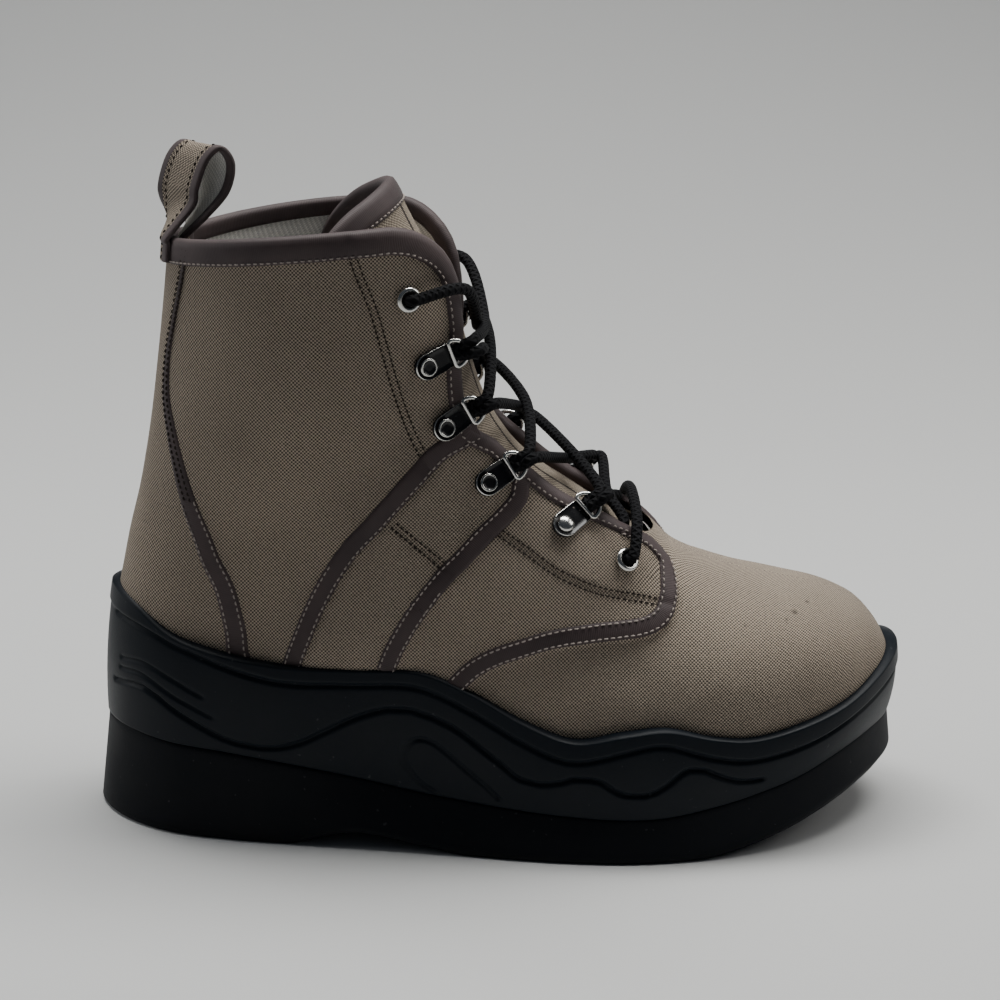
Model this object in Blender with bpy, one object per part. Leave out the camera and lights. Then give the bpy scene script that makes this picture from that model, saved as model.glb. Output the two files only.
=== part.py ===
"""Wading boot for the right foot, standing empty on its sole.

Metres, +Z up, +X towards the toe, -Y the outer (lateral) side of the foot.
SECTIONS gives the upper's sections from the collar round the ankle to the toe, and RIM the
sole's edge all round.  The panel tables give the overlays' edges as seen from the side.
Every table holds hand-chosen shares of the sizes named first.
"""

from functools import lru_cache
from math import cos, pi, radians, sin

import bmesh
import bpy
import numpy as np
from mathutils import Matrix, Vector

# Driving sizes
SOLE_LENGTH = 0.326
BALL_WIDTH = 0.124
HEEL_STACK = 0.0395
FOREFOOT_STACK = 0.0175
SEAT_THICKNESS = 0.0185
BALL_THICKNESS = 0.0095
EDGE_ROUND = 0.0015
TOE_ROUND = 0.009
TOE_SPRING = 0.015
ARCH_RISE = 0.006
INSTEP_HEIGHT = 0.100
SHAFT_HEIGHT = 0.083
COLLAR_CROWN = 0.003
RIM_RISE = 0.036
WALL = 0.003
OVERLAY = 0.0012
CLEARANCE = 0.0003
INSOLE_THICKNESS = 0.004
TONGUE_THICKNESS = 0.004
BINDING_WIDTH = 0.0075
THROAT_BAND = 0.0042
LEDGE = 0.0025
FLAT_ANGLE = radians(2.0)
MERGE = 0.00001

SEAT_HEIGHT = HEEL_STACK + SEAT_THICKNESS

# Upper sections from the collar to the toe tip.
# back and front are the two ends of a section in the boot's middle plane: x is a share of
# SOLE_LENGTH, level is 0 at the heel seat, 1 at the instep and 2 at the collar.
# out and in are the half widths on the outer and inner side and shift moves the middle
# inwards, all as shares of BALL_WIDTH.  widest is where the section is widest, from back to
# front.  front_n and back_n are the roundness of the two ends, 2 for an ellipse.
SECTION_COLUMNS = ("back_x", "back_level", "front_x", "front_level", "out", "in",
                   "shift", "widest", "front_n", "back_n")
SECTIONS = (
    (0.106, 1.900, 0.460, 2.000, 0.355, 0.355, 0.000, 0.52, 2.10, 1.80),
    (0.100, 1.600, 0.472, 1.771, 0.347, 0.347, 0.000, 0.52, 2.15, 1.80),
    (0.091, 1.313, 0.482, 1.506, 0.339, 0.339, 0.000, 0.52, 2.20, 1.85),
    (0.081, 1.036, 0.491, 1.289, 0.331, 0.331, 0.000, 0.52, 2.35, 1.90),
    (0.068, 0.800, 0.506, 1.120, 0.323, 0.323, 0.000, 0.52, 2.60, 1.95),
    (0.054, 0.590, 0.528, 0.990, 0.315, 0.315, 0.000, 0.52, 2.80, 2.00),
    (0.040, 0.400, 0.555, 0.900, 0.310, 0.310, 0.000, 0.52, 3.00, 2.15),
    (0.029, 0.240, 0.586, 0.820, 0.310, 0.310, 0.000, 0.54, 3.00, 2.30),
    (0.028, 0.080, 0.620, 0.745, 0.323, 0.315, 0.000, 0.57, 3.00, 2.40),
    (0.043, -0.060, 0.653, 0.675, 0.343, 0.331, 0.000, 0.60, 2.90, 2.40),
    (0.138, -0.110, 0.684, 0.600, 0.359, 0.343, 0.004, 0.60, 2.70, 2.60),
    (0.260, -0.130, 0.712, 0.515, 0.379, 0.355, 0.008, 0.50, 2.50, 2.60),
    (0.374, -0.160, 0.739, 0.465, 0.403, 0.367, 0.012, 0.42, 2.35, 4.20),
    (0.475, -0.240, 0.767, 0.435, 0.427, 0.379, 0.016, 0.36, 2.30, 5.00),
    (0.567, -0.320, 0.798, 0.410, 0.448, 0.387, 0.020, 0.34, 2.25, 6.00),
    (0.650, -0.350, 0.828, 0.390, 0.460, 0.387, 0.024, 0.32, 2.25, 6.00),
    (0.730, -0.350, 0.862, 0.365, 0.452, 0.379, 0.028, 0.30, 2.25, 6.00),
    (0.798, -0.330, 0.893, 0.340, 0.419, 0.363, 0.032, 0.30, 2.30, 6.00),
    (0.856, -0.300, 0.920, 0.308, 0.371, 0.331, 0.036, 0.30, 2.35, 5.50),
    (0.905, -0.270, 0.945, 0.265, 0.304, 0.266, 0.040, 0.32, 2.40, 5.00),
    (0.942, -0.240, 0.965, 0.200, 0.220, 0.206, 0.040, 0.34, 2.40, 4.00),
    (0.966, -0.200, 0.978, 0.135, 0.155, 0.145, 0.040, 0.38, 2.30, 3.00),
    (0.982, -0.140, 0.986, 0.070, 0.083, 0.077, 0.040, 0.45, 2.20, 2.40),
)
SECTION_RINGS = 24
RING_POINTS = 24

# The sole's edge from the back of the heel along one side to the toe tip.
# x is a share of SOLE_LENGTH, y of BALL_WIDTH.  spring and arch lift the tread by shares of
# TOE_SPRING and ARCH_RISE.  joint is where the outsole meets the midsole, from 0 at
# FOREFOOT_STACK to 1 at HEEL_STACK, and rim is the midsole's top edge above the heel seat
# as a share of RIM_RISE.  joint_in and rim_in set those two edges in from the tread's edge,
# as shares of BALL_WIDTH.
RIM_COLUMNS = ("x", "y", "spring", "arch", "joint", "joint_in", "rim", "rim_in")
RIM_OUTER = (
    (0.003, 0.000, 0.00, 0.0, 1.00, 0.036, 1.00, 0.072),
    (0.017, -0.121, 0.00, 0.0, 1.00, 0.034, 0.98, 0.070),
    (0.050, -0.226, 0.00, 0.0, 0.98, 0.032, 0.88, 0.064),
    (0.101, -0.310, 0.00, 0.0, 0.92, 0.032, 0.64, 0.054),
    (0.169, -0.359, 0.00, 0.0, 0.84, 0.036, 0.49, 0.040),
    (0.245, -0.391, 0.00, 0.0, 0.68, 0.044, 0.39, 0.052),
    (0.322, -0.415, 0.00, 1.0, 0.46, 0.060, 0.37, 0.069),
    (0.399, -0.444, 0.00, 0.5, 0.24, 0.065, 0.38, 0.073),
    (0.460, -0.472, 0.00, 0.0, 0.12, 0.065, 0.18, 0.073),
    (0.521, -0.500, 0.00, 0.0, 0.04, 0.060, -0.11, 0.073),
    (0.583, -0.520, 0.00, 0.0, -0.02, 0.056, -0.30, 0.069),
    (0.644, -0.527, 0.00, 0.0, -0.04, 0.048, -0.21, 0.063),
    (0.699, -0.516, 0.00, 0.0, 0.00, 0.040, -0.15, 0.055),
    (0.755, -0.488, 0.03, 0.0, 0.15, 0.032, -0.25, 0.038),
    (0.804, -0.447, 0.13, 0.0, 0.31, 0.024, -0.29, 0.020),
    (0.859, -0.385, 0.32, 0.0, 0.53, 0.016, -0.20, 0.002),
    (0.911, -0.300, 0.57, 0.0, 0.80, 0.014, -0.06, -0.008),
    (0.954, -0.194, 0.77, 0.0, 0.98, 0.014, 0.11, -0.004),
    (0.985, -0.075, 0.93, 0.0, 1.04, 0.016, 0.25, 0.002),
    (0.997, 0.048, 1.00, 0.0, 1.06, 0.016, 0.29, 0.008),
)
RIM_INNER = (
    (0.003, 0.000, 0.00, 0.0, 1.00, 0.036, 1.00, 0.072),
    (0.018, 0.121, 0.00, 0.0, 1.00, 0.034, 0.98, 0.070),
    (0.052, 0.218, 0.00, 0.0, 0.98, 0.032, 0.87, 0.058),
    (0.107, 0.290, 0.00, 0.0, 0.91, 0.032, 0.62, 0.038),
    (0.184, 0.331, 0.00, 0.0, 0.81, 0.032, 0.47, 0.012),
    (0.261, 0.339, 0.00, 0.0, 0.63, 0.030, 0.39, 0.000),
    (0.337, 0.347, 0.00, 1.0, 0.42, 0.030, 0.37, -0.006),
    (0.411, 0.363, 0.00, 0.4, 0.22, 0.030, 0.35, -0.006),
    (0.485, 0.391, 0.00, 0.0, 0.09, 0.030, 0.06, 0.000),
    (0.558, 0.423, 0.00, 0.0, 0.00, 0.030, -0.25, 0.008),
    (0.629, 0.456, 0.00, 0.0, -0.04, 0.032, -0.21, 0.022),
    (0.693, 0.472, 0.00, 0.0, -0.00, 0.032, -0.15, 0.030),
    (0.755, 0.472, 0.03, 0.0, 0.15, 0.030, -0.25, 0.032),
    (0.816, 0.455, 0.15, 0.0, 0.36, 0.024, -0.29, 0.020),
    (0.871, 0.418, 0.36, 0.0, 0.59, 0.016, -0.20, 0.004),
    (0.920, 0.358, 0.60, 0.0, 0.84, 0.014, -0.06, -0.006),
    (0.960, 0.274, 0.80, 0.0, 0.99, 0.014, 0.11, -0.004),
    (0.988, 0.166, 0.94, 0.0, 1.04, 0.016, 0.25, 0.002),
    (0.997, 0.048, 1.00, 0.0, 1.06, 0.016, 0.29, 0.008),
)
SIDE_STATIONS = 33

# The wave moulded in the midsole's side, from heel to toe: x as a share of SOLE_LENGTH and
# height as a share of the way from the joint to the rim.
WAVE = ((0.000, 0.400), (0.030, 0.450), (0.075, 0.475), (0.136, 0.290), (0.199, 0.150),
        (0.261, 0.270), (0.323, 0.560), (0.386, 0.690), (0.448, 0.630), (0.500, 0.460),
        (0.543, 0.366), (0.588, 0.537), (0.615, 0.500), (0.654, 0.305), (0.682, 0.310),
        (0.721, 0.550), (0.745, 0.560), (0.785, 0.345), (0.825, 0.255), (0.890, 0.230),
        (1.000, 0.260))
GROOVE_DEPTH = 0.0014
GROOVE_HALF = 0.0020
RIM_BAND = 0.0070
SIDE_BULGE = 0.0014

# Steps of the midsole's side from the joint up: what each is measured from, its distance
# up from there in groove half widths, and how far it stands out in groove depths.
SIDE_LEVELS = (("joint", 0.0, 0.0), ("joint", 1.5, 0.8), ("wave", -1.0, 1.0), ("wave", 0.0, 0.0),
               ("wave", 1.0, 1.0), ("band", -0.8, 0.6), ("band", 0.0, -0.3), ("band", 0.7, 0.8),
               ("rim", -0.5, 0.9), ("rim", 0.0, 0.2))

TREAD_PITCH = 0.019
TREAD_GROOVE = 0.004
TREAD_DEPTH = 0.003
TREAD_MARGIN = 0.011
TREAD_ZONES = ((0.060, 0.250), (0.470, 0.780))

# The throat between the flaps: place along the sections and half width as a share of
# BALL_WIDTH.  The wall's opening ends round at the vamp, and the flaps' own edges run on and
# turn out to the sides.
THROAT = ((-1.00, 0.330), (0.00, 0.296), (0.35, 0.248), (1.00, 0.206), (1.80, 0.206),
          (2.60, 0.228), (3.40, 0.240), (4.10, 0.244), (4.70, 0.216), (6.00, 0.198),
          (7.50, 0.194), (8.80, 0.182), (9.40, 0.165))
THROAT_END = ((9.85, 0.110), (10.05, 0.040))
FLAP_END = ((9.90, 0.143), (10.50, 0.138), (11.00, 0.144), (11.40, 0.160))
BOUND_ROWS = 9
THROAT_DEPTH = 0.032
THROAT_RISE = 0.015

# The tongue's rows from its root on the vamp to its top edge.  x is a share of SOLE_LENGTH
# and level as in SECTIONS for the middle of its outer face.  half is its half width and
# depth how far its edges lie behind the middle, as shares of BALL_WIDTH.  lean is the angle
# of that backwards direction below the horizontal, in degrees.
TONGUE_COLUMNS = ("x", "level", "half", "depth", "lean")
TONGUE = (
    (0.712, 0.440, 0.190, 0.060, 62.0),
    (0.672, 0.560, 0.225, 0.080, 58.0),
    (0.630, 0.660, 0.250, 0.110, 52.0),
    (0.585, 0.760, 0.262, 0.140, 44.0),
    (0.540, 0.860, 0.270, 0.180, 35.0),
    (0.505, 0.980, 0.280, 0.220, 26.0),
    (0.480, 1.140, 0.290, 0.250, 18.0),
    (0.462, 1.340, 0.300, 0.280, 14.0),
    (0.445, 1.560, 0.310, 0.300, 14.0),
    (0.420, 1.780, 0.315, 0.310, 18.0),
    (0.395, 1.960, 0.315, 0.310, 24.0),
    (0.372, 2.140, 0.310, 0.310, 32.0),
)
TONGUE_POINTS = 9
TONGUE_ROWS = 13


# Edges of the overlays as seen from the side: x as a share of SOLE_LENGTH, and level.
STRAP_TOP = ((0.500, 1.060), (0.468, 1.010), (0.448, 0.982), (0.430, 0.948), (0.412, 0.881),
             (0.385, 0.781), (0.360, 0.685), (0.335, 0.595), (0.313, 0.490), (0.293, 0.367),
             (0.275, 0.226), (0.264, 0.120), (0.258, 0.000))
STRAP_LOW = ((0.560, 0.900), (0.534, 0.850), (0.529, 0.780), (0.512, 0.712), (0.486, 0.634),
             (0.461, 0.545), (0.441, 0.480), (0.419, 0.388), (0.398, 0.284), (0.380, 0.163),
             (0.366, 0.000))
QUARTER_LOW = ((0.672, 0.680), (0.681, 0.600), (0.692, 0.548), (0.701, 0.500), (0.708, 0.440),
               (0.709, 0.390), (0.704, 0.345), (0.692, 0.305), (0.666, 0.276), (0.615, 0.262),
               (0.563, 0.239), (0.526, 0.202), (0.498, 0.169), (0.477, 0.131), (0.462, 0.086),
               (0.440, 0.000))
QUARTER_TOP = ((0.580, 0.900), (0.650, 0.800))
COUNTER_BACK = ((0.107, 1.800), (0.106, 1.677), (0.102, 1.486), (0.097, 1.268), (0.100, 1.144),
                (0.105, 1.015), (0.114, 0.863), (0.135, 0.611), (0.148, 0.534), (0.161, 0.435),
                (0.170, 0.341), (0.176, 0.250), (0.181, 0.187), (0.186, 0.060))
COUNTER_FRONT = ((0.120, 1.800), (0.118, 1.677), (0.114, 1.486), (0.110, 1.268),
                 (0.115, 1.144), (0.121, 1.015), (0.133, 0.863), (0.160, 0.630),
                 (0.177, 0.535), (0.187, 0.430), (0.195, 0.319), (0.200, 0.184),
                 (0.205, 0.060))

# The lacing rows from the bottom: kind of hardware, its place and the place that it points
# to, each as x and level from the side.
LACING = (
    ("eyelet", 0.645, 0.544, 0.660, 0.600),
    ("ring", 0.571, 0.681, 0.600, 0.733),
    ("ring", 0.480, 0.857, 0.510, 0.912),
    ("ring", 0.430, 1.095, 0.458, 1.164),
    ("ring", 0.409, 1.382, 0.437, 1.432),
    ("eyelet", 0.389, 1.691, 0.420, 1.740),
)
PLATE_WIDTH = 0.010
PLATE_REACH = 0.0125
PLATE_THICKNESS = 0.0010
RIVET_RADIUS = 0.0032
RIVET_HEIGHT = 0.0009
RING_WIRE = 0.0017
RING_RADIUS = 0.0053
RING_BAR = 0.0110
RING_TILT = 14.0
EYELET_RADIUS = 0.0049
EYELET_BORE = 0.0028
EYELET_BARREL = 0.0034
EYELET_HEIGHT = 0.0009
LACE_DIAMETER = 0.0048
LACE_DROP = 0.25
LACE_ROOT = 1.0
LACE_PLAY = 0.0018
LACE_PILE = 0.0013
LACE_LEAN = radians(40)
LACE_SIDES = 6

# Where the lace crosses the middle plane: x as a share of SOLE_LENGTH, and level.  The bar
# comes first, then the crossings from the bottom.
LACE_CREST = ((0.660, 0.726), (0.626, 0.720), (0.583, 0.880), (0.525, 1.108),
              (0.482, 1.386), (0.475, 1.494))

# The free part of the pull loop's tape, from the outside of the collar over the top to the
# inside: the middle of the tape as x, a share of SOLE_LENGTH, y, a share of BALL_WIDTH, and
# level, and how far the tape is turned, its outer edge forwards, in degrees.
LOOP_COLUMNS = ("x", "y", "level", "turn")
LOOP = (
    (0.1130, 0.000, 2.010, 34.0),
    (0.1190, 0.000, 2.110, 41.0),
    (0.1330, 0.000, 2.245, 42.0),
    (0.1510, 0.000, 2.300, 42.0),
    (0.1640, 0.000, 2.230, 41.0),
    (0.1600, 0.000, 2.110, 36.0),
    (0.1430, 0.000, 2.000, 24.0),
)
LOOP_FOOT = 0.55
LOOP_RISE = 0.0025
LOOP_PLAY = 0.0011
LOOP_WIDTH = 0.026
LOOP_THICKNESS = 0.0018
LOOP_POINTS = 5
LOOP_ROWS = 19


def spline(rows, t):
    """Catmull-Rom curve through the rows of a table, read at t (0 is the first row)."""
    rows = np.asarray(rows, float)
    t = np.asarray(t, float)
    last = len(rows) - 1
    i = np.clip(np.floor(t).astype(int), 0, last - 1)
    f = (t - i)[..., None]
    a, b, c, d = (rows[np.clip(i + step, 0, last)] for step in (-1, 0, 1, 2))
    a = np.where((i == 0)[..., None], 2 * b - c, a)
    d = np.where((i == last - 1)[..., None], 2 * c - b, d)
    return 0.5 * (2 * b + (c - a) * f + (2 * a - 5 * b + 4 * c - d) * f**2
                  + (3 * b - a - 3 * c + d) * f**3)


def height_of(level):
    """Height above the floor of a level: 0 heel seat, 1 instep, 2 collar."""
    level = np.asarray(level, float)
    low = np.minimum(level, 1.0) * INSTEP_HEIGHT
    high = np.maximum(level - 1.0, 0.0) * SHAFT_HEIGHT
    return SEAT_HEIGHT + low + high


def section_rows():
    """SECTIONS in metres."""
    rows = np.array(SECTIONS)
    rows[:, [0, 2]] *= SOLE_LENGTH
    rows[:, [1, 3]] = height_of(rows[:, [1, 3]])
    rows[:, 4:7] *= BALL_WIDTH
    return rows


SECTION_ROWS = section_rows()
LAST_SECTION = len(SECTIONS) - 1.0


def upper_skin(u, a):
    """Outer surface of the upper: u is the place among the sections and a the angle round
    one, 0 at the front or top, pi at the back or bottom, growing over the outer side.  Each
    quarter is a superellipse between the widest place and an end."""
    u, a = np.broadcast_arrays(np.asarray(u, float), np.asarray(a, float))
    row = np.moveaxis(spline(SECTION_ROWS, u), -1, 0)
    back_x, back_z, front_x, front_z, out, inn, shift, widest, front_n, back_n = row
    c, s = np.cos(a), np.sin(a)
    power = 2.0 / np.where(c >= 0, front_n, back_n)
    reach = np.abs(c) ** power
    along = np.where(c >= 0, widest + (1 - widest) * reach, widest * (1 - reach))
    half = np.where(s >= 0, out, inn)
    x = back_x + (front_x - back_x) * along
    y = shift - np.sign(s) * np.abs(s) ** power * half
    crown = COLLAR_CROWN * np.clip(1 - u / 2, 0, 1) * 4 * along * (1 - along)
    z = back_z + (front_z - back_z) * along + crown
    return np.stack([x, y, z], -1)


def upper_normal(u, a):
    """Outward direction of the upper's surface, from small steps both ways."""
    e = 1e-3
    along = upper_skin(np.minimum(u + e, LAST_SECTION), a) - upper_skin(np.maximum(u - e, 0), a)
    round_it = upper_skin(u, a + e) - upper_skin(u, a - e)
    n = np.cross(round_it, along)
    return n / np.linalg.norm(n, axis=-1, keepdims=True)


def upper_at(u, a, grow):
    """The upper's surface moved outwards by grow."""
    return upper_skin(u, a) + upper_normal(u, a) * grow


def bed_height(x):
    """Top of the midsole inside the cup: level under the heel, down the arch to the ball and
    up again with the toe spring."""
    share = np.asarray(x, float) / SOLE_LENGTH
    t = np.clip((share - 0.28) / 0.34, 0, 1)
    t = t * t * (3 - 2 * t)
    ball = FOREFOOT_STACK + BALL_THICKNESS
    rise = np.clip((share - 0.66) / 0.34, 0, 1) ** 1.6 * TOE_SPRING
    return SEAT_HEIGHT * (1 - t) + ball * t + rise


def material(name, colour, roughness, metallic=0.0):
    """A plain finish of its own for one kind of piece."""
    mat = bpy.data.materials.get(name) or bpy.data.materials.new(name)
    mat.use_nodes = True
    shader = mat.node_tree.nodes["Principled BSDF"]
    shader.inputs["Base Color"].default_value = (*colour, 1)
    shader.inputs["Roughness"].default_value = roughness
    shader.inputs["Metallic"].default_value = metallic
    return mat


def solid(name, points, faces, mat=None):
    """A mesh object from points and faces, with its faces made to point outwards."""
    mesh = bpy.data.meshes.new(name)
    mesh.from_pydata([tuple(p) for p in np.asarray(points, float)], [], faces)
    bm = bmesh.new()
    bm.from_mesh(mesh)
    bmesh.ops.recalc_face_normals(bm, faces=bm.faces)
    bmesh.ops.triangulate(bm, faces=bm.faces)
    bm.to_mesh(mesh)
    bm.free()
    obj = bpy.data.objects.new(name, mesh)
    bpy.context.collection.objects.link(obj)
    if mat:
        mesh.materials.append(mat)
    return obj


def tube_faces(rings, points):
    """Faces of a closed tube of rings, each of the same number of points, with both ends
    filled."""
    faces = []
    for r in range(rings - 1):
        for k in range(points):
            n = (k + 1) % points
            faces.append((r * points + k, r * points + n,
                          (r + 1) * points + n, (r + 1) * points + k))
    faces.append(tuple(range(points))[::-1])
    faces.append(tuple(range((rings - 1) * points, rings * points)))
    return faces


def combine(obj, other, operation):
    """Apply one exact Boolean to obj, leave triangles and remove the other object."""
    mod = obj.modifiers.new(operation, "BOOLEAN")
    mod.operation = operation
    mod.solver = "EXACT"
    mod.object = other
    bpy.context.view_layer.update()
    graph = bpy.context.evaluated_depsgraph_get()
    mesh = bpy.data.meshes.new_from_object(obj.evaluated_get(graph))
    obj.modifiers.clear()
    obj.data = mesh
    bm = bmesh.new()
    bm.from_mesh(mesh)
    bmesh.ops.triangulate(bm, faces=bm.faces)
    bm.to_mesh(mesh)
    bm.free()
    bpy.data.objects.remove(other)
    return obj


def tidy(obj, mat):
    """Merge slivers left by a cut, give the finish and shade smooth but for sharp edges."""
    bm = bmesh.new()
    bm.from_mesh(obj.data)
    bmesh.ops.remove_doubles(bm, verts=bm.verts, dist=MERGE)
    bmesh.ops.dissolve_degenerate(bm, edges=bm.edges, dist=MERGE)
    bmesh.ops.dissolve_limit(bm, angle_limit=FLAT_ANGLE, verts=bm.verts, edges=bm.edges)
    bm.to_mesh(obj.data)
    bm.free()
    obj.data.materials.clear()
    obj.data.materials.append(mat)
    obj.data.shade_smooth()
    obj.data.set_sharp_from_angle(angle=radians(35))
    return obj


def form(name, grow, rise=0.0):
    """The upper's filled form moved outwards by grow, its top end raised by rise."""
    u = np.linspace(0, LAST_SECTION, SECTION_RINGS)
    a = np.linspace(0, 2 * pi, RING_POINTS, endpoint=False)
    grid = upper_at(u[:, None], a[None, :], grow)
    rings = SECTION_RINGS
    if rise:
        grid = np.concatenate([grid[:1] + np.array([0, 0, rise]), grid])
        rings += 1
    return solid(name, grid.reshape(-1, 3), tube_faces(rings, RING_POINTS))


def bed_block(name, lift, bottom=None):
    """Everything below the footbed raised by lift, or a slab of it down to bottom."""
    x = np.linspace(-0.1, 1.1, 16) * SOLE_LENGTH
    top = bed_height(x) + lift
    low = np.full_like(x, -0.05) if bottom is None else bed_height(x) + bottom
    y = np.full_like(x, BALL_WIDTH)
    ring = np.stack([np.stack([x, -y, low], 1), np.stack([x, y, low], 1),
                     np.stack([x, y, top], 1), np.stack([x, -y, top], 1)], 1)
    return solid(name, ring.reshape(-1, 3), tube_faces(len(x), 4))


def throat_cutter(name, table, widen=0.0, rise=THROAT_RISE, trim=0.0):
    """The space between the flaps, widened by a named width on each side: a bar along the
    front of the sections, from THROAT_DEPTH inside them to rise outside, its two ends
    trimmed by a part of a row."""
    table = np.array(table)
    t = np.linspace(trim, len(table) - 1 - trim, 2 * len(table) - 1)
    u, half = spline(table, t).T
    half = np.maximum(half * BALL_WIDTH, CLEARANCE) + widen
    inside = np.clip(u, 0, LAST_SECTION)
    mid = upper_skin(inside, 0.0)
    n = upper_normal(inside, 0.0)
    step = upper_skin(0.0, 0.0) - upper_skin(0.5, 0.0)
    mid = mid + np.where(u < 0, -u * 2, 0)[:, None] * step
    low, high = mid - n * (THROAT_DEPTH + widen), mid + n * rise
    w = half[:, None] * np.array([0, 1.0, 0])
    ring = np.stack([low - w, low + w, high + w, high - w], 1)
    return solid(name, ring.reshape(-1, 3), tube_faces(len(t), 4))


def side_points(table):
    """A side-view edge in metres."""
    rows = np.array(table)
    return np.stack([rows[:, 0] * SOLE_LENGTH, height_of(rows[:, 1])], 1)


def side_prism(name, outline, side):
    """A side-view outline run through one half of the boot: side is -1 for the outer half,
    1 for the inner and 0 for both."""
    outline = np.asarray(outline, float)
    near, far = (0.0, side * BALL_WIDTH) if side else (-BALL_WIDTH, BALL_WIDTH)
    ring = [np.stack([outline[:, 0], np.full(len(outline), y), outline[:, 1]], 1)
            for y in (near, far)]
    return solid(name, np.concatenate(ring), tube_faces(2, len(outline)))


def skin(name, low, high):
    """The layer between two heights above the upper's surface, as one closed shell."""
    outer = form(name, high)
    combine(outer, form("inside", low, rise=0.02), "DIFFERENCE")
    return outer


def side_edges(table):
    """The midsole's side as level edges from joint to rim, with its wave and its rim band."""
    tread, joint, rim, inward, joint_set = rim_side(table, SIDE_STATIONS)
    x, up = np.array(WAVE).T
    wave = np.interp(tread[:, 0] / SOLE_LENGTH, x, up)
    tall = (rim - joint)[:, 2]
    base = {"joint": 0 * tall, "wave": wave, "band": 1 - RIM_BAND / tall, "rim": 1 + 0 * tall}
    edges = []
    for start, rise, out in SIDE_LEVELS:
        share = base[start] + rise * GROOVE_HALF / tall
        edge = joint + (rim - joint) * share[:, None]
        swell = SIDE_BULGE * 4 * share * (1 - share) + out * GROOVE_DEPTH
        edge[:, :2] -= inward * swell[:, None]
        edges.append(edge)
    return edges


def rim_block(name):
    """All that the midsole takes up, cup included."""
    return stack_solid(name, side_edges(RIM_OUTER), side_edges(RIM_INNER))


def rim_curtain(name):
    """All below the rim's edge and a margin round it, to trim what is laid on the upper."""
    sides = []
    for table in (RIM_OUTER, RIM_INNER):
        tread, joint, rim, inward, joint_set = rim_side(table, SIDE_STATIONS)
        top = rim + np.array([0, 0, 4 * CLEARANCE])
        top[:, :2] -= inward * TREAD_MARGIN
        low = top * np.array([1, 1, 0])
        sides.append([low, top])
    return stack_solid(name, *sides)


def overlay(name, outline, side, mat, cut_flaps=True):
    """A panel laid on the upper: its layer inside a side-view outline, clear of the sole's
    rim and of the throat."""
    cut = side_prism("outline", outline, side)
    combine(cut, rim_curtain("rim"), "DIFFERENCE")
    if cut_flaps:
        combine(cut, throat_cutter("gap", THROAT + FLAP_END), "DIFFERENCE")
    body = skin(name, CLEARANCE, CLEARANCE + OVERLAY)
    combine(body, cut, "INTERSECT")
    return tidy(body, mat)


def rim_side(table, steps):
    """One side's edge from heel to toe: tread edge, joint edge and rim edge as points, each
    set in square to the outline."""
    rows = spline(np.array(table), np.linspace(0, len(table) - 1, steps))
    x, y, spring, arch, joint, joint_in, rim, rim_in = rows.T
    x, y = x * SOLE_LENGTH, y * BALL_WIDTH
    dx, dy = np.gradient(x), np.gradient(y)
    if table is RIM_OUTER:
        inward = np.stack([-dy, dx], 1)
    else:
        inward = np.stack([dy, -dx], 1)
    inward[0] = (1, 0)
    inward[-1] = (-1, 0)
    inward /= np.linalg.norm(inward, axis=1, keepdims=True)
    flat = np.stack([x, y], 1)
    lift = np.maximum(spring, 0) * TOE_SPRING + np.maximum(arch, 0) * ARCH_RISE
    joint_z = FOREFOOT_STACK + (HEEL_STACK - FOREFOOT_STACK) * joint
    rim_z = SEAT_HEIGHT + RIM_RISE * rim

    def edge(inset, z):
        return np.column_stack([flat + inward * np.asarray(inset)[:, None], z])

    joint_set = joint_in * BALL_WIDTH
    tread = edge(np.zeros(steps), lift)
    return tread, edge(joint_set, joint_z), edge(rim_in * BALL_WIDTH, rim_z), inward, joint_set


def stack_solid(name, outer, inner):
    """A solid between rows of edges from bottom to top.  Each of outer and inner holds one
    edge per level, from heel to toe; the first and last points of the two are the same."""
    levels = [np.concatenate([o, i[-2:0:-1]]) for o, i in zip(outer, inner)]
    count = len(levels[0])
    points = np.concatenate(levels)
    faces = []
    for r in range(len(levels) - 1):
        for k in range(count):
            n = (k + 1) % count
            faces.append((r * count + k, r * count + n, (r + 1) * count + n))
            faces.append((r * count + k, (r + 1) * count + n, (r + 1) * count + k))
    top = (len(levels) - 1) * count
    for k in range(count // 2):
        near, near_next = k, k + 1
        far, far_next = (count - k) % count, count - k - 1
        if near_next == far_next:
            faces.append((near, far, near_next))
            faces.append((top + near, top + near_next, top + far))
            continue
        for a, b, c in ((near, far, near_next), (near_next, far, far_next)):
            if len({a, b, c}) == 3:
                faces.append((a, b, c))
                faces.append((top + a, top + c, top + b))
    return solid(name, points, faces)


def make_midsole(mat):
    """Moulded cup: stepped side with a raised rim, hollow where the upper's form stands."""
    body = rim_block("midsole")
    cavity = form("cavity", CLEARANCE)
    combine(cavity, bed_block("under_bed", 0.0), "DIFFERENCE")
    combine(body, cavity, "DIFFERENCE")
    return tidy(body, mat)


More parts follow.
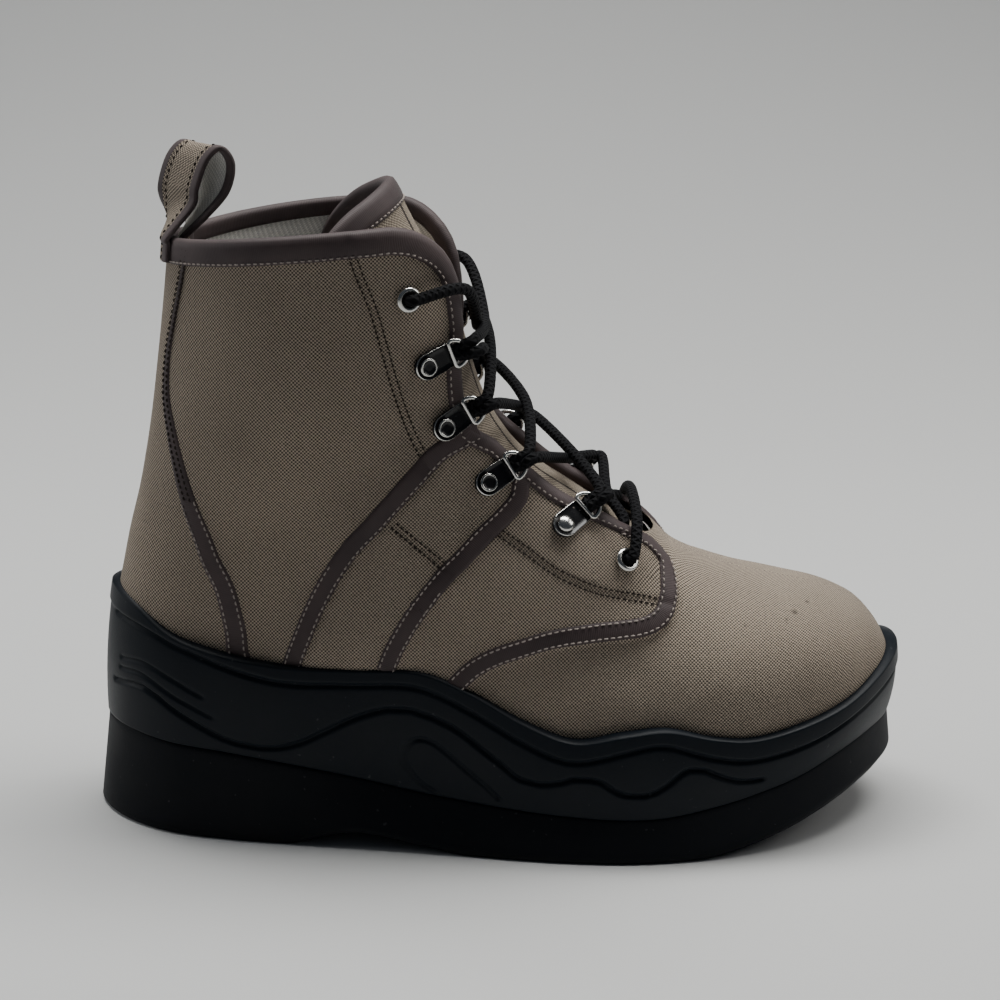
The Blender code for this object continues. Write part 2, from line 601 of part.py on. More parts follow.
def make_outsole(mat):
    """Rubber unit: edge rounded under, most at the toe, side drawn in to the joint with a
    ledge round the midsole, and tread bars that stop short of the edge."""
    sides = []
    for table in (RIM_OUTER, RIM_INNER):
        tread, joint, rim, inward, joint_set = rim_side(table, SIDE_STATIONS)
        curl = np.clip(tread[:, 0] / SOLE_LENGTH - 0.75, 0, 0.2) / 0.2
        edge_round = EDGE_ROUND + TOE_ROUND * curl
        edges = []
        for share in (0.0, 0.3, 1.0):
            edge = tread.copy()
            edge[:, 2] += edge_round * share
            edge[:, :2] += inward * (edge_round * (1 - share) ** 1.5)[:, None]
            edges.append(edge)
        top = joint - np.array([0, 0, CLEARANCE])
        top[:, :2] -= inward * np.minimum(LEDGE, joint_set)[:, None]
        sides.append(edges + [top])
    body = stack_solid("outsole", *sides)
    outer, inner = (np.array(table)[:, :2] for table in (RIM_OUTER, RIM_INNER))
    for start, end in TREAD_ZONES:
        count = int((end - start) * SOLE_LENGTH / TREAD_PITCH) + 1
        for k in range(count):
            x = start * SOLE_LENGTH + k * TREAD_PITCH
            low = np.interp(x / SOLE_LENGTH, *outer.T) * BALL_WIDTH + TREAD_MARGIN
            high = np.interp(x / SOLE_LENGTH, *inner.T) * BALL_WIDTH - TREAD_MARGIN
            corner = np.array([[x, low], [x + TREAD_GROOVE, low], [x + TREAD_GROOVE, high],
                               [x, high]])
            points = [np.column_stack([corner, np.full(4, z)]) for z in (-0.01, TREAD_DEPTH)]
            cut = solid("tread", np.concatenate(points), tube_faces(2, 4))
            combine(body, cut, "DIFFERENCE")
    return tidy(body, mat)


def make_upper(mat):
    """One hollow wall, open at the collar, the throat and underneath."""
    body = form("upper", 0.0)
    combine(body, form("room", -WALL, rise=0.02), "DIFFERENCE")
    combine(body, bed_block("under_bed", CLEARANCE), "DIFFERENCE")
    combine(body, throat_cutter("throat", THROAT + THROAT_END), "DIFFERENCE")
    return tidy(body, mat)


def make_insole(mat):
    """Footbed that fills the room inside the upper's wall."""
    body = form("insole", -WALL - CLEARANCE)
    slab = bed_block("slab", CLEARANCE + INSOLE_THICKNESS, bottom=CLEARANCE)
    combine(body, slab, "INTERSECT")
    return tidy(body, mat)


def tongue_row(x, level, half, depth, lean, inset):
    """One row across the tongue, inset behind its outer face: an arc from edge to edge."""
    t = np.linspace(-1, 1, TONGUE_POINTS)
    bend = radians(80)
    across = np.sin(t * bend) / sin(bend) * (half * BALL_WIDTH - inset)
    behind = (1 - np.cos(t * bend)) / (1 - cos(bend)) * depth * BALL_WIDTH + inset
    back = np.array([-cos(radians(lean)), 0, -sin(radians(lean))])
    middle = np.array([x * SOLE_LENGTH, 0, float(height_of(level))])
    return middle + behind[:, None] * back + across[:, None] * np.array([0, 1.0, 0])


def make_tongue(mat):
    """Wide gusseted tongue under the flaps, its top leaning back above the collar."""
    rows = spline(np.array(TONGUE), np.linspace(0, len(TONGUE) - 1, TONGUE_ROWS))
    rings = []
    for row in rows:
        front = tongue_row(*row, 0.0)
        back = tongue_row(*row, TONGUE_THICKNESS)
        rings.append(np.concatenate([front, back[::-1]]))
    body = solid("tongue", np.concatenate(rings), tube_faces(len(rings), 2 * TONGUE_POINTS))
    room = form("room", -WALL - CLEARANCE, rise=0.05)
    combine(body, room, "INTERSECT")
    return tidy(body, mat)


def make_collar_binding(mat):
    """Bound edge of the collar and of the flaps down to the strap."""
    band = throat_cutter("band", THROAT[:BOUND_ROWS], THROAT_BAND,
                         rise=BINDING_WIDTH, trim=0.2)
    back, front = upper_skin(0.0, pi), upper_skin(0.0, 0.0)
    reach = (front - back) * 0.5
    ends = [back - reach, front + reach]
    outline = [(p[0], p[2] - BINDING_WIDTH) for p in ends]
    outline += [(p[0], p[2] + BINDING_WIDTH) for p in ends[::-1]]
    combine(band, side_prism("top", outline, 0), "UNION")
    combine(band, throat_cutter("gap", THROAT + THROAT_END), "DIFFERENCE")
    strap = strap_outline() + np.array([0, CLEARANCE])
    combine(band, side_prism("strap", strap, 0), "DIFFERENCE")
    body = skin("collar_binding", CLEARANCE, CLEARANCE + OVERLAY)
    combine(body, band, "INTERSECT")
    return tidy(body, mat)


def strap_outline():
    """The instep strap's outline from the side."""
    return np.concatenate([side_points(STRAP_TOP), side_points(STRAP_LOW)[::-1]])


def quarter_outline():
    """The lower eyestay panel's outline from the side, clear of the strap."""
    strap = side_points(STRAP_LOW) + np.array([CLEARANCE, -CLEARANCE])
    return np.concatenate([strap[::-1], side_points(QUARTER_TOP), side_points(QUARTER_LOW)])


def counter_outline():
    """The taped counter seam's outline from the side."""
    return np.concatenate([side_points(COUNTER_BACK), side_points(COUNTER_FRONT)[::-1]])


@lru_cache(maxsize=None)
def surface_at(x, level, side):
    """The place on the upper's surface seen at x and level from one side, as u and a."""
    u, a = np.meshgrid(np.linspace(0, LAST_SECTION, 221), np.linspace(0.02, pi - 0.02, 121),
                       indexing="ij")
    a = a * -side
    p = upper_skin(u, a)
    gap = (p[..., 0] - x * SOLE_LENGTH) ** 2 + (p[..., 2] - float(height_of(level))) ** 2
    k = np.unravel_index(np.argmin(gap), gap.shape)
    return u[k], a[k]


def seat(x, level, to_x, to_level, side, reach, half):
    """A frame on the upper's surface: origin at the first place, X along the surface to the
    second, Z outwards, raised to clear the overlays over a footprint of reach by half."""
    u, a = surface_at(x, level, side)
    v, b = surface_at(to_x, to_level, side)
    start, end = upper_skin(u, a), upper_skin(v, b)
    out = upper_normal(u, a) + upper_normal(v, b)
    along = end - start
    along /= np.linalg.norm(along)
    out -= along * (out @ along)
    out /= np.linalg.norm(out)
    across = np.cross(out, along)
    du, da = np.meshgrid(np.linspace(-1.2, 1.2, 25), np.linspace(-0.5, 0.5, 25), indexing="ij")
    near = upper_skin(np.clip(u + du, 0, LAST_SECTION), a + da) - start
    local = np.stack([near @ along, near @ across, near @ out], -1)
    under = ((local[..., 0] > -half) & (local[..., 0] < reach) & (abs(local[..., 1]) < half))
    lift = max(local[..., 2][under].max(), 0.0) + OVERLAY + 2 * CLEARANCE
    origin = start + out * lift
    return Matrix([[along[i], across[i], out[i], origin[i]] for i in range(3)] + [[0, 0, 0, 1]])


def ring_of(radius, count, height, start=0.0, turn=2 * pi):
    """Points of a level circle or arc."""
    t = start + np.linspace(0, turn, count, endpoint=turn < 2 * pi)
    return np.stack([np.cos(t) * radius, np.sin(t) * radius, np.full(count, height)], 1)


def plate_mesh(mat):
    """Ring plate with its rivet: a tongue-shaped plate, round behind the rivet."""
    half = PLATE_WIDTH / 2
    arc = ring_of(half, 6, 0.0, pi / 2, pi)
    end = np.array([[PLATE_REACH, -half * 0.9, 0.0], [PLATE_REACH, half * 0.9, 0.0]])
    outline = np.concatenate([arc, end])
    top = outline + np.array([0, 0, PLATE_THICKNESS])
    plate = solid("plate", np.concatenate([outline, top]), tube_faces(2, len(outline)))
    head = RIVET_RADIUS
    crown = PLATE_THICKNESS + RIVET_HEIGHT
    rings = [ring_of(head, 8, PLATE_THICKNESS / 2), ring_of(head, 8, crown - RIVET_HEIGHT * 0.4),
             ring_of(head * 0.6, 8, crown)]
    rivet = solid("rivet", np.concatenate(rings), tube_faces(3, 8))
    combine(plate, rivet, "UNION")
    return tidy(plate, mat)


def ring_mesh(mat):
    """D-shaped wire ring: a straight bar across the plate and an arc beyond it."""
    t = np.linspace(-pi / 2, pi / 2, 7)
    arc = np.stack([RING_BAR + np.cos(t) * RING_RADIUS, np.sin(t) * RING_RADIUS], 1)
    middle = np.array([[RING_BAR - RING_WIRE * 0.4, RING_RADIUS * 0.5],
                       [RING_BAR - RING_WIRE * 0.4, -RING_RADIUS * 0.5]])
    path = np.concatenate([arc, middle])
    lean = np.tan(radians(RING_TILT))
    lift = PLATE_THICKNESS + CLEARANCE + RING_WIRE / 2
    path = np.column_stack([path, lift + np.maximum(path[:, 0] - RING_BAR, 0) * lean])
    return wire_loop("ring", path, RING_WIRE / 2, 5, mat)


def wire_loop(name, path, radius, sides, mat):
    """A round wire along a closed path."""
    ahead = np.roll(path, -1, 0) - np.roll(path, 1, 0)
    ahead /= np.linalg.norm(ahead, axis=1, keepdims=True)
    up = np.array([0, 0, 1.0]) - ahead * ahead[:, 2:3]
    up /= np.linalg.norm(up, axis=1, keepdims=True)
    side = np.cross(ahead, up)
    t = np.linspace(0, 2 * pi, sides, endpoint=False)
    rings = (path[:, None] + radius * (np.cos(t)[None, :, None] * side[:, None]
                                       + np.sin(t)[None, :, None] * up[:, None]))
    count = len(path)
    faces = [(r * sides + k, r * sides + (k + 1) % sides,
              ((r + 1) % count) * sides + (k + 1) % sides, ((r + 1) % count) * sides + k)
             for r in range(count) for k in range(sides)]
    obj = solid(name, rings.reshape(-1, 3), faces)
    return tidy(obj, mat)


def eyelet_mesh(mat):
    """Rolled eyelet: a flange on the panel and a barrel through the wall."""
    depth = -(WALL + OVERLAY + 3 * CLEARANCE)
    barrel = EYELET_BARREL - CLEARANCE
    profile = [(EYELET_BORE, depth), (barrel, depth), (barrel, 0.0), (EYELET_RADIUS, 0.0),
               (EYELET_RADIUS - 0.0008, EYELET_HEIGHT), (EYELET_BORE, EYELET_HEIGHT * 0.5)]
    sides = 10
    rings = [ring_of(r, sides, z) for r, z in profile]
    count = len(rings)
    faces = [(r * sides + k, r * sides + (k + 1) % sides,
              ((r + 1) % count) * sides + (k + 1) % sides, ((r + 1) % count) * sides + k)
             for r in range(count) for k in range(sides)]
    return tidy(solid("eyelet", np.concatenate(rings), faces), mat)


def place(obj, name, frame):
    """One more piece with the same mesh, standing in a frame."""
    piece = bpy.data.objects.new(name, obj.data)
    bpy.context.collection.objects.link(piece)
    piece.matrix_world = frame
    return piece


@lru_cache(maxsize=None)
def lacing_frames(side):
    """The frames of the lacing rows on one side, from the bottom."""
    frames = []
    for kind, x, level, to_x, to_level in LACING:
        if kind == "ring":
            frames.append(seat(x, level, to_x, to_level, side, PLATE_REACH, PLATE_WIDTH / 2))
        else:
            frames.append(seat(x, level, to_x, to_level, side, EYELET_RADIUS, EYELET_RADIUS))
    return frames


def hardware(plate_mat, wire_mat):
    """Plates, rings and eyelets on both sides."""
    plate, ring, eyelet = plate_mesh(plate_mat), ring_mesh(wire_mat), eyelet_mesh(wire_mat)
    for side, word in ((-1, "outer"), (1, "inner")):
        for row, frame in enumerate(lacing_frames(side)):
            if LACING[row][0] == "ring":
                place(plate, f"ring_plate_{word}_{row}", frame)
                place(ring, f"d_ring_{word}_{row}", frame)
            else:
                place(eyelet, f"eyelet_{word}_{row}", frame)
    for obj in (plate, ring, eyelet):
        bpy.data.objects.remove(obj)


def eyelet_holes(body):
    """Holes for the eyelets through a piece of the upper."""
    for side in (-1, 1):
        for row, frame in enumerate(lacing_frames(side)):
            if LACING[row][0] != "eyelet":
                continue
            rings = [ring_of(EYELET_BARREL, 12, z) for z in (-2 * EYELET_RADIUS, EYELET_RADIUS)]
            hole = solid("hole", np.concatenate(rings), tube_faces(2, 12))
            hole.data.transform(frame)
            combine(body, hole, "DIFFERENCE")
    return body


def throat_edge(u, side, grow, inset=0.0):
    """The place on one flap's edge at u, moved outwards by grow and into the throat by
    inset."""
    rows, halves = np.array(THROAT).T
    half = np.interp(u, rows, halves) * BALL_WIDTH - inset
    a = np.linspace(0, pi / 2, 200)
    near = np.argmin(np.abs(np.abs(upper_skin(u, a * -side)[:, 1]) - half))
    return upper_at(u, a[near] * -side, grow)


def lace_end(row, side, leaves):
    """The first places of a strand at a row: just outside the ring, above the middle where it
    leaves upwards and below where it arrives, or just over the eyelet's bore and then over
    the flap's edge."""
    radius = LACE_DIAMETER / 2
    kind, x, level = LACING[row][:3]
    frame = lacing_frames(side)[row]
    if kind == "ring":
        lean = radians(RING_TILT)
        far = RING_RADIUS + RING_WIRE / 2 + CLEARANCE + radius
        lift = PLATE_THICKNESS + CLEARANCE + RING_WIRE / 2
        beside = (radius + CLEARANCE) * (-side if leaves else side)
        return [np.array(frame @ Vector((RING_BAR + far * cos(lean), beside,
                                         lift + far * sin(lean))))]
    over = np.array(frame @ Vector((0, 0, EYELET_HEIGHT + 2 * CLEARANCE + radius)))
    u = surface_at(x, level, side)[0] + LACE_DROP
    return [over, throat_edge(u, side, OVERLAY + LACE_DIAMETER)]


def lace_root(side):
    """Where the lowest crossing comes out from under a flap, beside its edge."""
    u = surface_at(*LACING[0][1:3], side)[0] - LACE_ROOT
    return [throat_edge(u, side, -WALL / 2, LACE_DIAMETER / 2 + LACE_PLAY)]


def cord(name, path, radius, sides):
    """A round cord along an open path, its ends filled."""
    ahead = np.gradient(path, axis=0)
    ahead /= np.linalg.norm(ahead, axis=1, keepdims=True)
    side = np.cross(ahead, np.array([0.3, 0, 1.0]))
    side /= np.linalg.norm(side, axis=1, keepdims=True)
    up = np.cross(side, ahead)
    t = np.linspace(0, 2 * pi, sides, endpoint=False)
    rings = (path[:, None] + radius * (np.cos(t)[None, :, None] * side[:, None]
                                       + np.sin(t)[None, :, None] * up[:, None]))
    return solid(name, rings.reshape(-1, 3), tube_faces(len(path), sides))


def strand(name, start, crest, end, pile=0.0):
    """A stretch of lace from one end over a crest in the middle plane to the other end, the
    crest moved outwards by pile."""
    x, level = crest
    out = np.array([cos(LACE_LEAN), 0.0, sin(LACE_LEAN)])
    middle = np.array([x * SOLE_LENGTH, 0.0, float(height_of(level))]) + out * pile
    stops = np.array(start + [middle] + end[::-1])
    path = spline(stops, np.linspace(0, len(stops) - 1, 4 * len(stops) - 3))
    return cord(name, path, LACE_DIAMETER / 2, LACE_SIDES)


def make_lace(mat):
    """The lace over the tongue: a bar between the bottom eyelets and a crossing between each
    two rows, each one solid."""
    bar = strand("lace_bar", lace_end(0, -1, True), LACE_CREST[0], lace_end(0, 1, True))
    tidy(bar, mat)
    for row, crest in enumerate(LACE_CREST[1:]):
        low = [lace_end(row, side, True) if row else lace_root(side) for side in (-1, 1)]
        high = [lace_end(row + 1, side, False) for side in (-1, 1)]
        over = strand(f"lace_crossing_{row + 1}", low[0], crest, high[1], LACE_PILE)
        combine(over, strand("under", high[0], crest, low[1], -LACE_PILE), "UNION")
        tidy(over, mat)


def loop_foot(depth):
    """Rows across a foot of the pull loop, on the back of the collar: depth is how far its
    middle lies from the upper's outer surface, outwards."""
    places = np.linspace(LOOP_FOOT, 0.0, 3)
    a = np.linspace(-1, 1, LOOP_POINTS)
    skin_y = upper_skin(0.0, pi + np.linspace(-0.6, 0.6, 121))[:, 1]
    turn = np.interp(a * LOOP_WIDTH / 2, skin_y, np.linspace(-0.6, 0.6, 121))
    rows = [upper_at(u, pi + turn, depth) for u in places]
    return rows + [rows[-1] + np.array([0, 0, LOOP_RISE])]


def make_pull_loop(mat):
    """Tape sewn outside and inside the back of the collar, turned towards the outer side
    above it."""
    over_binding = CLEARANCE + OVERLAY + LOOP_PLAY + LOOP_THICKNESS / 2
    inside = WALL + LOOP_PLAY + LOOP_THICKNESS / 2
    x, y, level, turn = np.array(LOOP).T
    middle = np.column_stack([x * SOLE_LENGTH, y * BALL_WIDTH, height_of(level)])
    turn = np.radians(turn)
    across = np.column_stack([-np.sin(turn), np.cos(turn), 0 * turn]) * LOOP_WIDTH / 2
    reach = np.linspace(-1, 1, LOOP_POINTS)
    free = [place + reach[:, None] * way for place, way in zip(middle, across)]
    rows = loop_foot(over_binding) + free + loop_foot(-inside)[::-1]
    table = np.array(rows).reshape(len(rows), -1)
    grid = spline(table, np.linspace(0, len(rows) - 1, LOOP_ROWS)).reshape(LOOP_ROWS, -1, 3)
    out = np.cross(np.gradient(grid, axis=0), np.gradient(grid, axis=1))
    out *= LOOP_THICKNESS / 2 / np.linalg.norm(out, axis=2, keepdims=True)
    ring = np.concatenate([grid - out, (grid + out)[:, ::-1]], 1)
    body = solid("pull_loop", ring.reshape(-1, 3), tube_faces(LOOP_ROWS, 2 * LOOP_POINTS))
    return tidy(body, mat)


def centre_on_floor():
    """Move the boot so that the middle of its box stands on the origin."""
    bpy.context.view_layer.update()
    pieces = [obj for obj in bpy.data.objects if obj.type == "MESH"]
    corners = np.array([obj.matrix_world @ Vector(c) for obj in pieces for c in obj.bound_box])
    low, high = corners.min(0), corners.max(0)
    shift = Matrix.Translation((-(low[0] + high[0]) / 2, -(low[1] + high[1]) / 2, -low[2]))
    for obj in pieces:
        obj.matrix_world = shift @ obj.matrix_world
    return shift


def clear_scene():
    """Start from an empty scene."""
    for obj in list(bpy.data.objects):
        bpy.data.objects.remove(obj)


def main():
    """Build every piece of the boot."""
    clear_scene()
    weave = material("taupe_weave", (0.235, 0.198, 0.152), 0.85)
    lining = material("tongue_weave", (0.30, 0.26, 0.20), 0.85)
    tape = material("mauve_binding", (0.09, 0.065, 0.062), 0.7)
    foam = material("black_foam", (0.012, 0.013, 0.017), 0.45)
    rubber = material("black_rubber", (0.010, 0.010, 0.011), 0.6)
    felt = material("footbed_cloth", (0.25, 0.25, 0.26), 0.9)
    enamel = material("black_plate", (0.01, 0.01, 0.01), 0.3, 0.4)
    steel = material("bright_wire", (0.6, 0.6, 0.6), 0.25, 1.0)
    braid = material("black_braid", (0.01, 0.01, 0.012), 0.8)
    make_outsole(rubber)
    make_midsole(foam)
    make_insole(felt)
    make_upper(weave)
    make_tongue(lining)
    make_collar_binding(tape)
    for side, word in ((-1, "outer"), (1, "inner")):
        overlay("quarter_" + word, quarter_outline(), side, weave)
        overlay("strap_" + word, strap_outline(), side, weave)
        overlay("counter_band_" + word, counter_outline(), side, tape, cut_flaps=False)
    for name in ("upper", "quarter_outer", "quarter_inner"):
        eyelet_holes(bpy.data.objects[name])
    hardware(enamel, steel)
    make_lace(braid)
    make_pull_loop(weave)
    return centre_on_floor()


SHIFT = main()
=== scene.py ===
"""The look of the wading boot: fine cloth, tape, stitches, lace, moulded sole, light and camera.

Work frame, in metres: X from the back of the heel to the toe, -Y the outer side, Z up from the
floor.  ORIGIN moves it to the middle of the boot's box.  A place on the upper is (u, a): u
counts the sections from the collar to the toe and a is the angle round one, 0 at the front or
top and pi at the back or bottom, positive over the outer side.  A place as seen from the side is
(x, level): x a share of SOLE_LENGTH, level 0 at the heel seat, 1 at the instep, 2 at the collar.
"""

from math import cos, pi, radians, sin, tan

import bpy
import numpy as np
from mathutils import Matrix, Vector


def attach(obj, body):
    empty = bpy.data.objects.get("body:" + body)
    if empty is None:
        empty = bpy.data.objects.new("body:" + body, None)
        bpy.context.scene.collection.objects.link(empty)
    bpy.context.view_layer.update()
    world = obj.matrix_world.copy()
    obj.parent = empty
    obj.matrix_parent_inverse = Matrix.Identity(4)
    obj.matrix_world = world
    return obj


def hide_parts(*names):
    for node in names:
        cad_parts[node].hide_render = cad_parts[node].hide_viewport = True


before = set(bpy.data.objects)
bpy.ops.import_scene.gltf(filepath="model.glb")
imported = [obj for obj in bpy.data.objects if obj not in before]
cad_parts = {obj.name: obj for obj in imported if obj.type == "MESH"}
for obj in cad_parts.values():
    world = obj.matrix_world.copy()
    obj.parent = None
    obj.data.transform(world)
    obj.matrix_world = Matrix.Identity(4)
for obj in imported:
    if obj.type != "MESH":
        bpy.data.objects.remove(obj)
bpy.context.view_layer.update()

# Sizes of the boot
ORIGIN = np.array([-0.16351, 0.00326, 0.0])
SOLE_LENGTH = 0.326
BALL_WIDTH = 0.124
HEEL_STACK = 0.0395
FOREFOOT_STACK = 0.0175
SEAT_THICKNESS = 0.0185
BALL_THICKNESS = 0.0095
EDGE_ROUND = 0.0015
TOE_ROUND = 0.009
TOE_SPRING = 0.015
ARCH_RISE = 0.006
INSTEP_HEIGHT = 0.100
SHAFT_HEIGHT = 0.083
COLLAR_CROWN = 0.0018
RIM_RISE = 0.036
WALL = 0.003
OVERLAY = 0.0012
CLEARANCE = 0.0003
LIP = 0.0007
CLOTH_TUCK = 0.0025
LINING_TUCK = 0.002
MIDSOLE_UNDER = 0.012
OUTSOLE_TOP = 0.008
INSOLE_THICKNESS = 0.004
TONGUE_THICKNESS = 0.004
SEAT_HEIGHT = HEEL_STACK + SEAT_THICKNESS
OUTER, INNER = -1, 1
SIDES = ((OUTER, "outer"), (INNER, "inner"))
UP = np.array([0.0, 0.0, 1.0])

# Upper sections from the collar to the toe tip: back x and level, front x and level, half width
# outside and inside, middle's shift inwards, place of the greatest width, roundness of the
# front end and of the back end.
SECTIONS = (
    (0.107, 1.865, 0.460, 2.000, 0.355, 0.355, 0.000, 0.52, 2.10, 1.80),
    (0.100, 1.600, 0.472, 1.771, 0.347, 0.347, 0.000, 0.52, 2.15, 1.80),
    (0.091, 1.313, 0.482, 1.506, 0.339, 0.339, 0.000, 0.52, 2.20, 1.85),
    (0.081, 1.036, 0.491, 1.289, 0.331, 0.331, 0.000, 0.52, 2.35, 1.90),
    (0.068, 0.800, 0.506, 1.120, 0.323, 0.323, 0.000, 0.52, 2.60, 1.95),
    (0.054, 0.590, 0.528, 0.990, 0.315, 0.315, 0.000, 0.52, 2.80, 2.00),
    (0.040, 0.400, 0.555, 0.900, 0.310, 0.310, 0.000, 0.52, 3.00, 2.15),
    (0.029, 0.240, 0.586, 0.820, 0.310, 0.310, 0.000, 0.54, 3.00, 2.30),
    (0.028, 0.080, 0.620, 0.745, 0.323, 0.315, 0.000, 0.57, 3.00, 2.40),
    (0.043, -0.060, 0.653, 0.675, 0.343, 0.331, 0.000, 0.60, 2.90, 2.40),
    (0.138, -0.110, 0.684, 0.600, 0.359, 0.343, 0.004, 0.60, 2.70, 2.60),
    (0.260, -0.130, 0.712, 0.515, 0.379, 0.355, 0.008, 0.50, 2.50, 2.60),
    (0.374, -0.160, 0.739, 0.465, 0.403, 0.367, 0.012, 0.42, 2.35, 4.20),
    (0.475, -0.240, 0.767, 0.435, 0.427, 0.379, 0.016, 0.36, 2.30, 5.00),
    (0.567, -0.320, 0.798, 0.410, 0.448, 0.387, 0.020, 0.34, 2.25, 6.00),
    (0.650, -0.350, 0.828, 0.390, 0.460, 0.387, 0.024, 0.32, 2.25, 6.00),
    (0.730, -0.350, 0.862, 0.365, 0.452, 0.379, 0.028, 0.30, 2.25, 6.00),
    (0.798, -0.330, 0.893, 0.340, 0.419, 0.363, 0.032, 0.30, 2.30, 6.00),
    (0.856, -0.300, 0.920, 0.308, 0.371, 0.331, 0.036, 0.30, 2.35, 5.50),
    (0.905, -0.270, 0.945, 0.265, 0.304, 0.266, 0.040, 0.32, 2.40, 5.00),
    (0.942, -0.240, 0.965, 0.200, 0.220, 0.206, 0.040, 0.34, 2.40, 4.00),
    (0.966, -0.200, 0.978, 0.135, 0.155, 0.145, 0.040, 0.38, 2.30, 3.00),
    (0.982, -0.140, 0.986, 0.070, 0.083, 0.077, 0.040, 0.45, 2.20, 2.40),
)

# The sole's edge from heel to toe: x, y, spring, arch, joint height, joint inset, rim height and
# rim inset.  x is a share of SOLE_LENGTH, y and the insets of BALL_WIDTH, the others of
# TOE_SPRING, ARCH_RISE, the way from FOREFOOT_STACK to HEEL_STACK, and RIM_RISE.
RIM_OUTER = (
    (0.003, 0.000, 0.00, 0.0, 1.00, 0.036, 1.00, 0.072),
    (0.017, -0.121, 0.00, 0.0, 1.00, 0.034, 0.98, 0.070),
    (0.050, -0.226, 0.00, 0.0, 0.98, 0.032, 0.88, 0.064),
    (0.101, -0.310, 0.00, 0.0, 0.92, 0.032, 0.64, 0.054),
    (0.169, -0.359, 0.00, 0.0, 0.84, 0.036, 0.49, 0.040),
    (0.245, -0.391, 0.00, 0.0, 0.68, 0.044, 0.39, 0.052),
    (0.322, -0.415, 0.00, 1.0, 0.46, 0.060, 0.37, 0.069),
    (0.399, -0.444, 0.00, 0.5, 0.24, 0.065, 0.38, 0.073),
    (0.460, -0.472, 0.00, 0.0, 0.12, 0.065, 0.18, 0.073),
    (0.521, -0.500, 0.00, 0.0, 0.04, 0.060, -0.11, 0.073),
    (0.583, -0.520, 0.00, 0.0, -0.02, 0.056, -0.30, 0.069),
    (0.644, -0.527, 0.00, 0.0, -0.04, 0.048, -0.21, 0.063),
    (0.699, -0.516, 0.00, 0.0, 0.00, 0.040, -0.15, 0.055),
    (0.755, -0.488, 0.03, 0.0, 0.15, 0.032, -0.25, 0.038),
    (0.804, -0.447, 0.13, 0.0, 0.31, 0.024, -0.29, 0.020),
    (0.859, -0.385, 0.32, 0.0, 0.53, 0.016, -0.20, 0.002),
    (0.911, -0.300, 0.57, 0.0, 0.80, 0.014, -0.06, -0.008),
    (0.954, -0.194, 0.77, 0.0, 0.98, 0.014, 0.11, -0.004),
    (0.985, -0.075, 0.93, 0.0, 1.04, 0.016, 0.25, 0.002),
    (0.997, 0.048, 1.00, 0.0, 1.06, 0.016, 0.29, 0.008),
)
RIM_INNER = (
    (0.003, 0.000, 0.00, 0.0, 1.00, 0.036, 1.00, 0.072),
    (0.018, 0.121, 0.00, 0.0, 1.00, 0.034, 0.98, 0.070),
    (0.052, 0.218, 0.00, 0.0, 0.98, 0.032, 0.87, 0.058),
    (0.107, 0.290, 0.00, 0.0, 0.91, 0.032, 0.62, 0.038),
    (0.184, 0.331, 0.00, 0.0, 0.81, 0.032, 0.47, 0.012),
    (0.261, 0.339, 0.00, 0.0, 0.63, 0.030, 0.39, 0.000),
    (0.337, 0.347, 0.00, 1.0, 0.42, 0.030, 0.37, -0.006),
    (0.411, 0.363, 0.00, 0.4, 0.22, 0.030, 0.35, -0.006),
    (0.485, 0.391, 0.00, 0.0, 0.09, 0.030, 0.06, 0.000),
    (0.558, 0.423, 0.00, 0.0, 0.00, 0.030, -0.25, 0.008),
    (0.629, 0.456, 0.00, 0.0, -0.04, 0.032, -0.21, 0.022),
    (0.693, 0.472, 0.00, 0.0, 0.00, 0.032, -0.15, 0.030),
    (0.755, 0.472, 0.03, 0.0, 0.15, 0.030, -0.25, 0.032),
    (0.816, 0.455, 0.15, 0.0, 0.36, 0.024, -0.29, 0.020),
    (0.871, 0.418, 0.36, 0.0, 0.59, 0.016, -0.20, 0.004),
    (0.920, 0.358, 0.60, 0.0, 0.84, 0.014, -0.06, -0.006),
    (0.960, 0.274, 0.80, 0.0, 0.99, 0.014, 0.11, -0.004),
    (0.988, 0.166, 0.94, 0.0, 1.04, 0.016, 0.25, 0.002),
    (0.997, 0.048, 1.00, 0.0, 1.06, 0.016, 0.29, 0.008),
)

# The throat between the flaps: place along the sections and half width.
THROAT = ((0.00, 0.318), (0.06, 0.296), (0.16, 0.276), (0.32, 0.254), (0.52, 0.234),
          (0.76, 0.218), (1.05, 0.208), (1.40, 0.205), (1.80, 0.206), (2.60, 0.228),
          (3.40, 0.240), (4.10, 0.244), (4.70, 0.216), (6.00, 0.198), (7.50, 0.194),
          (8.80, 0.182), (9.40, 0.165), (9.85, 0.110), (10.05, 0.040), (10.10, 0.000))
THROAT_CORNER = 9.3

# The flaps' own edges beyond the throat's end, and where the edge tape and the front tape of a
# flap run along them.
FLAP = ((9.00, 0.177), (9.40, 0.165), (9.90, 0.143), (10.50, 0.138), (11.00, 0.146),
        (11.50, 0.170), (12.50, 0.240))
EDGE_TAPE_END = 9.35
FLAP_FRONT = (9.1, 10.8)

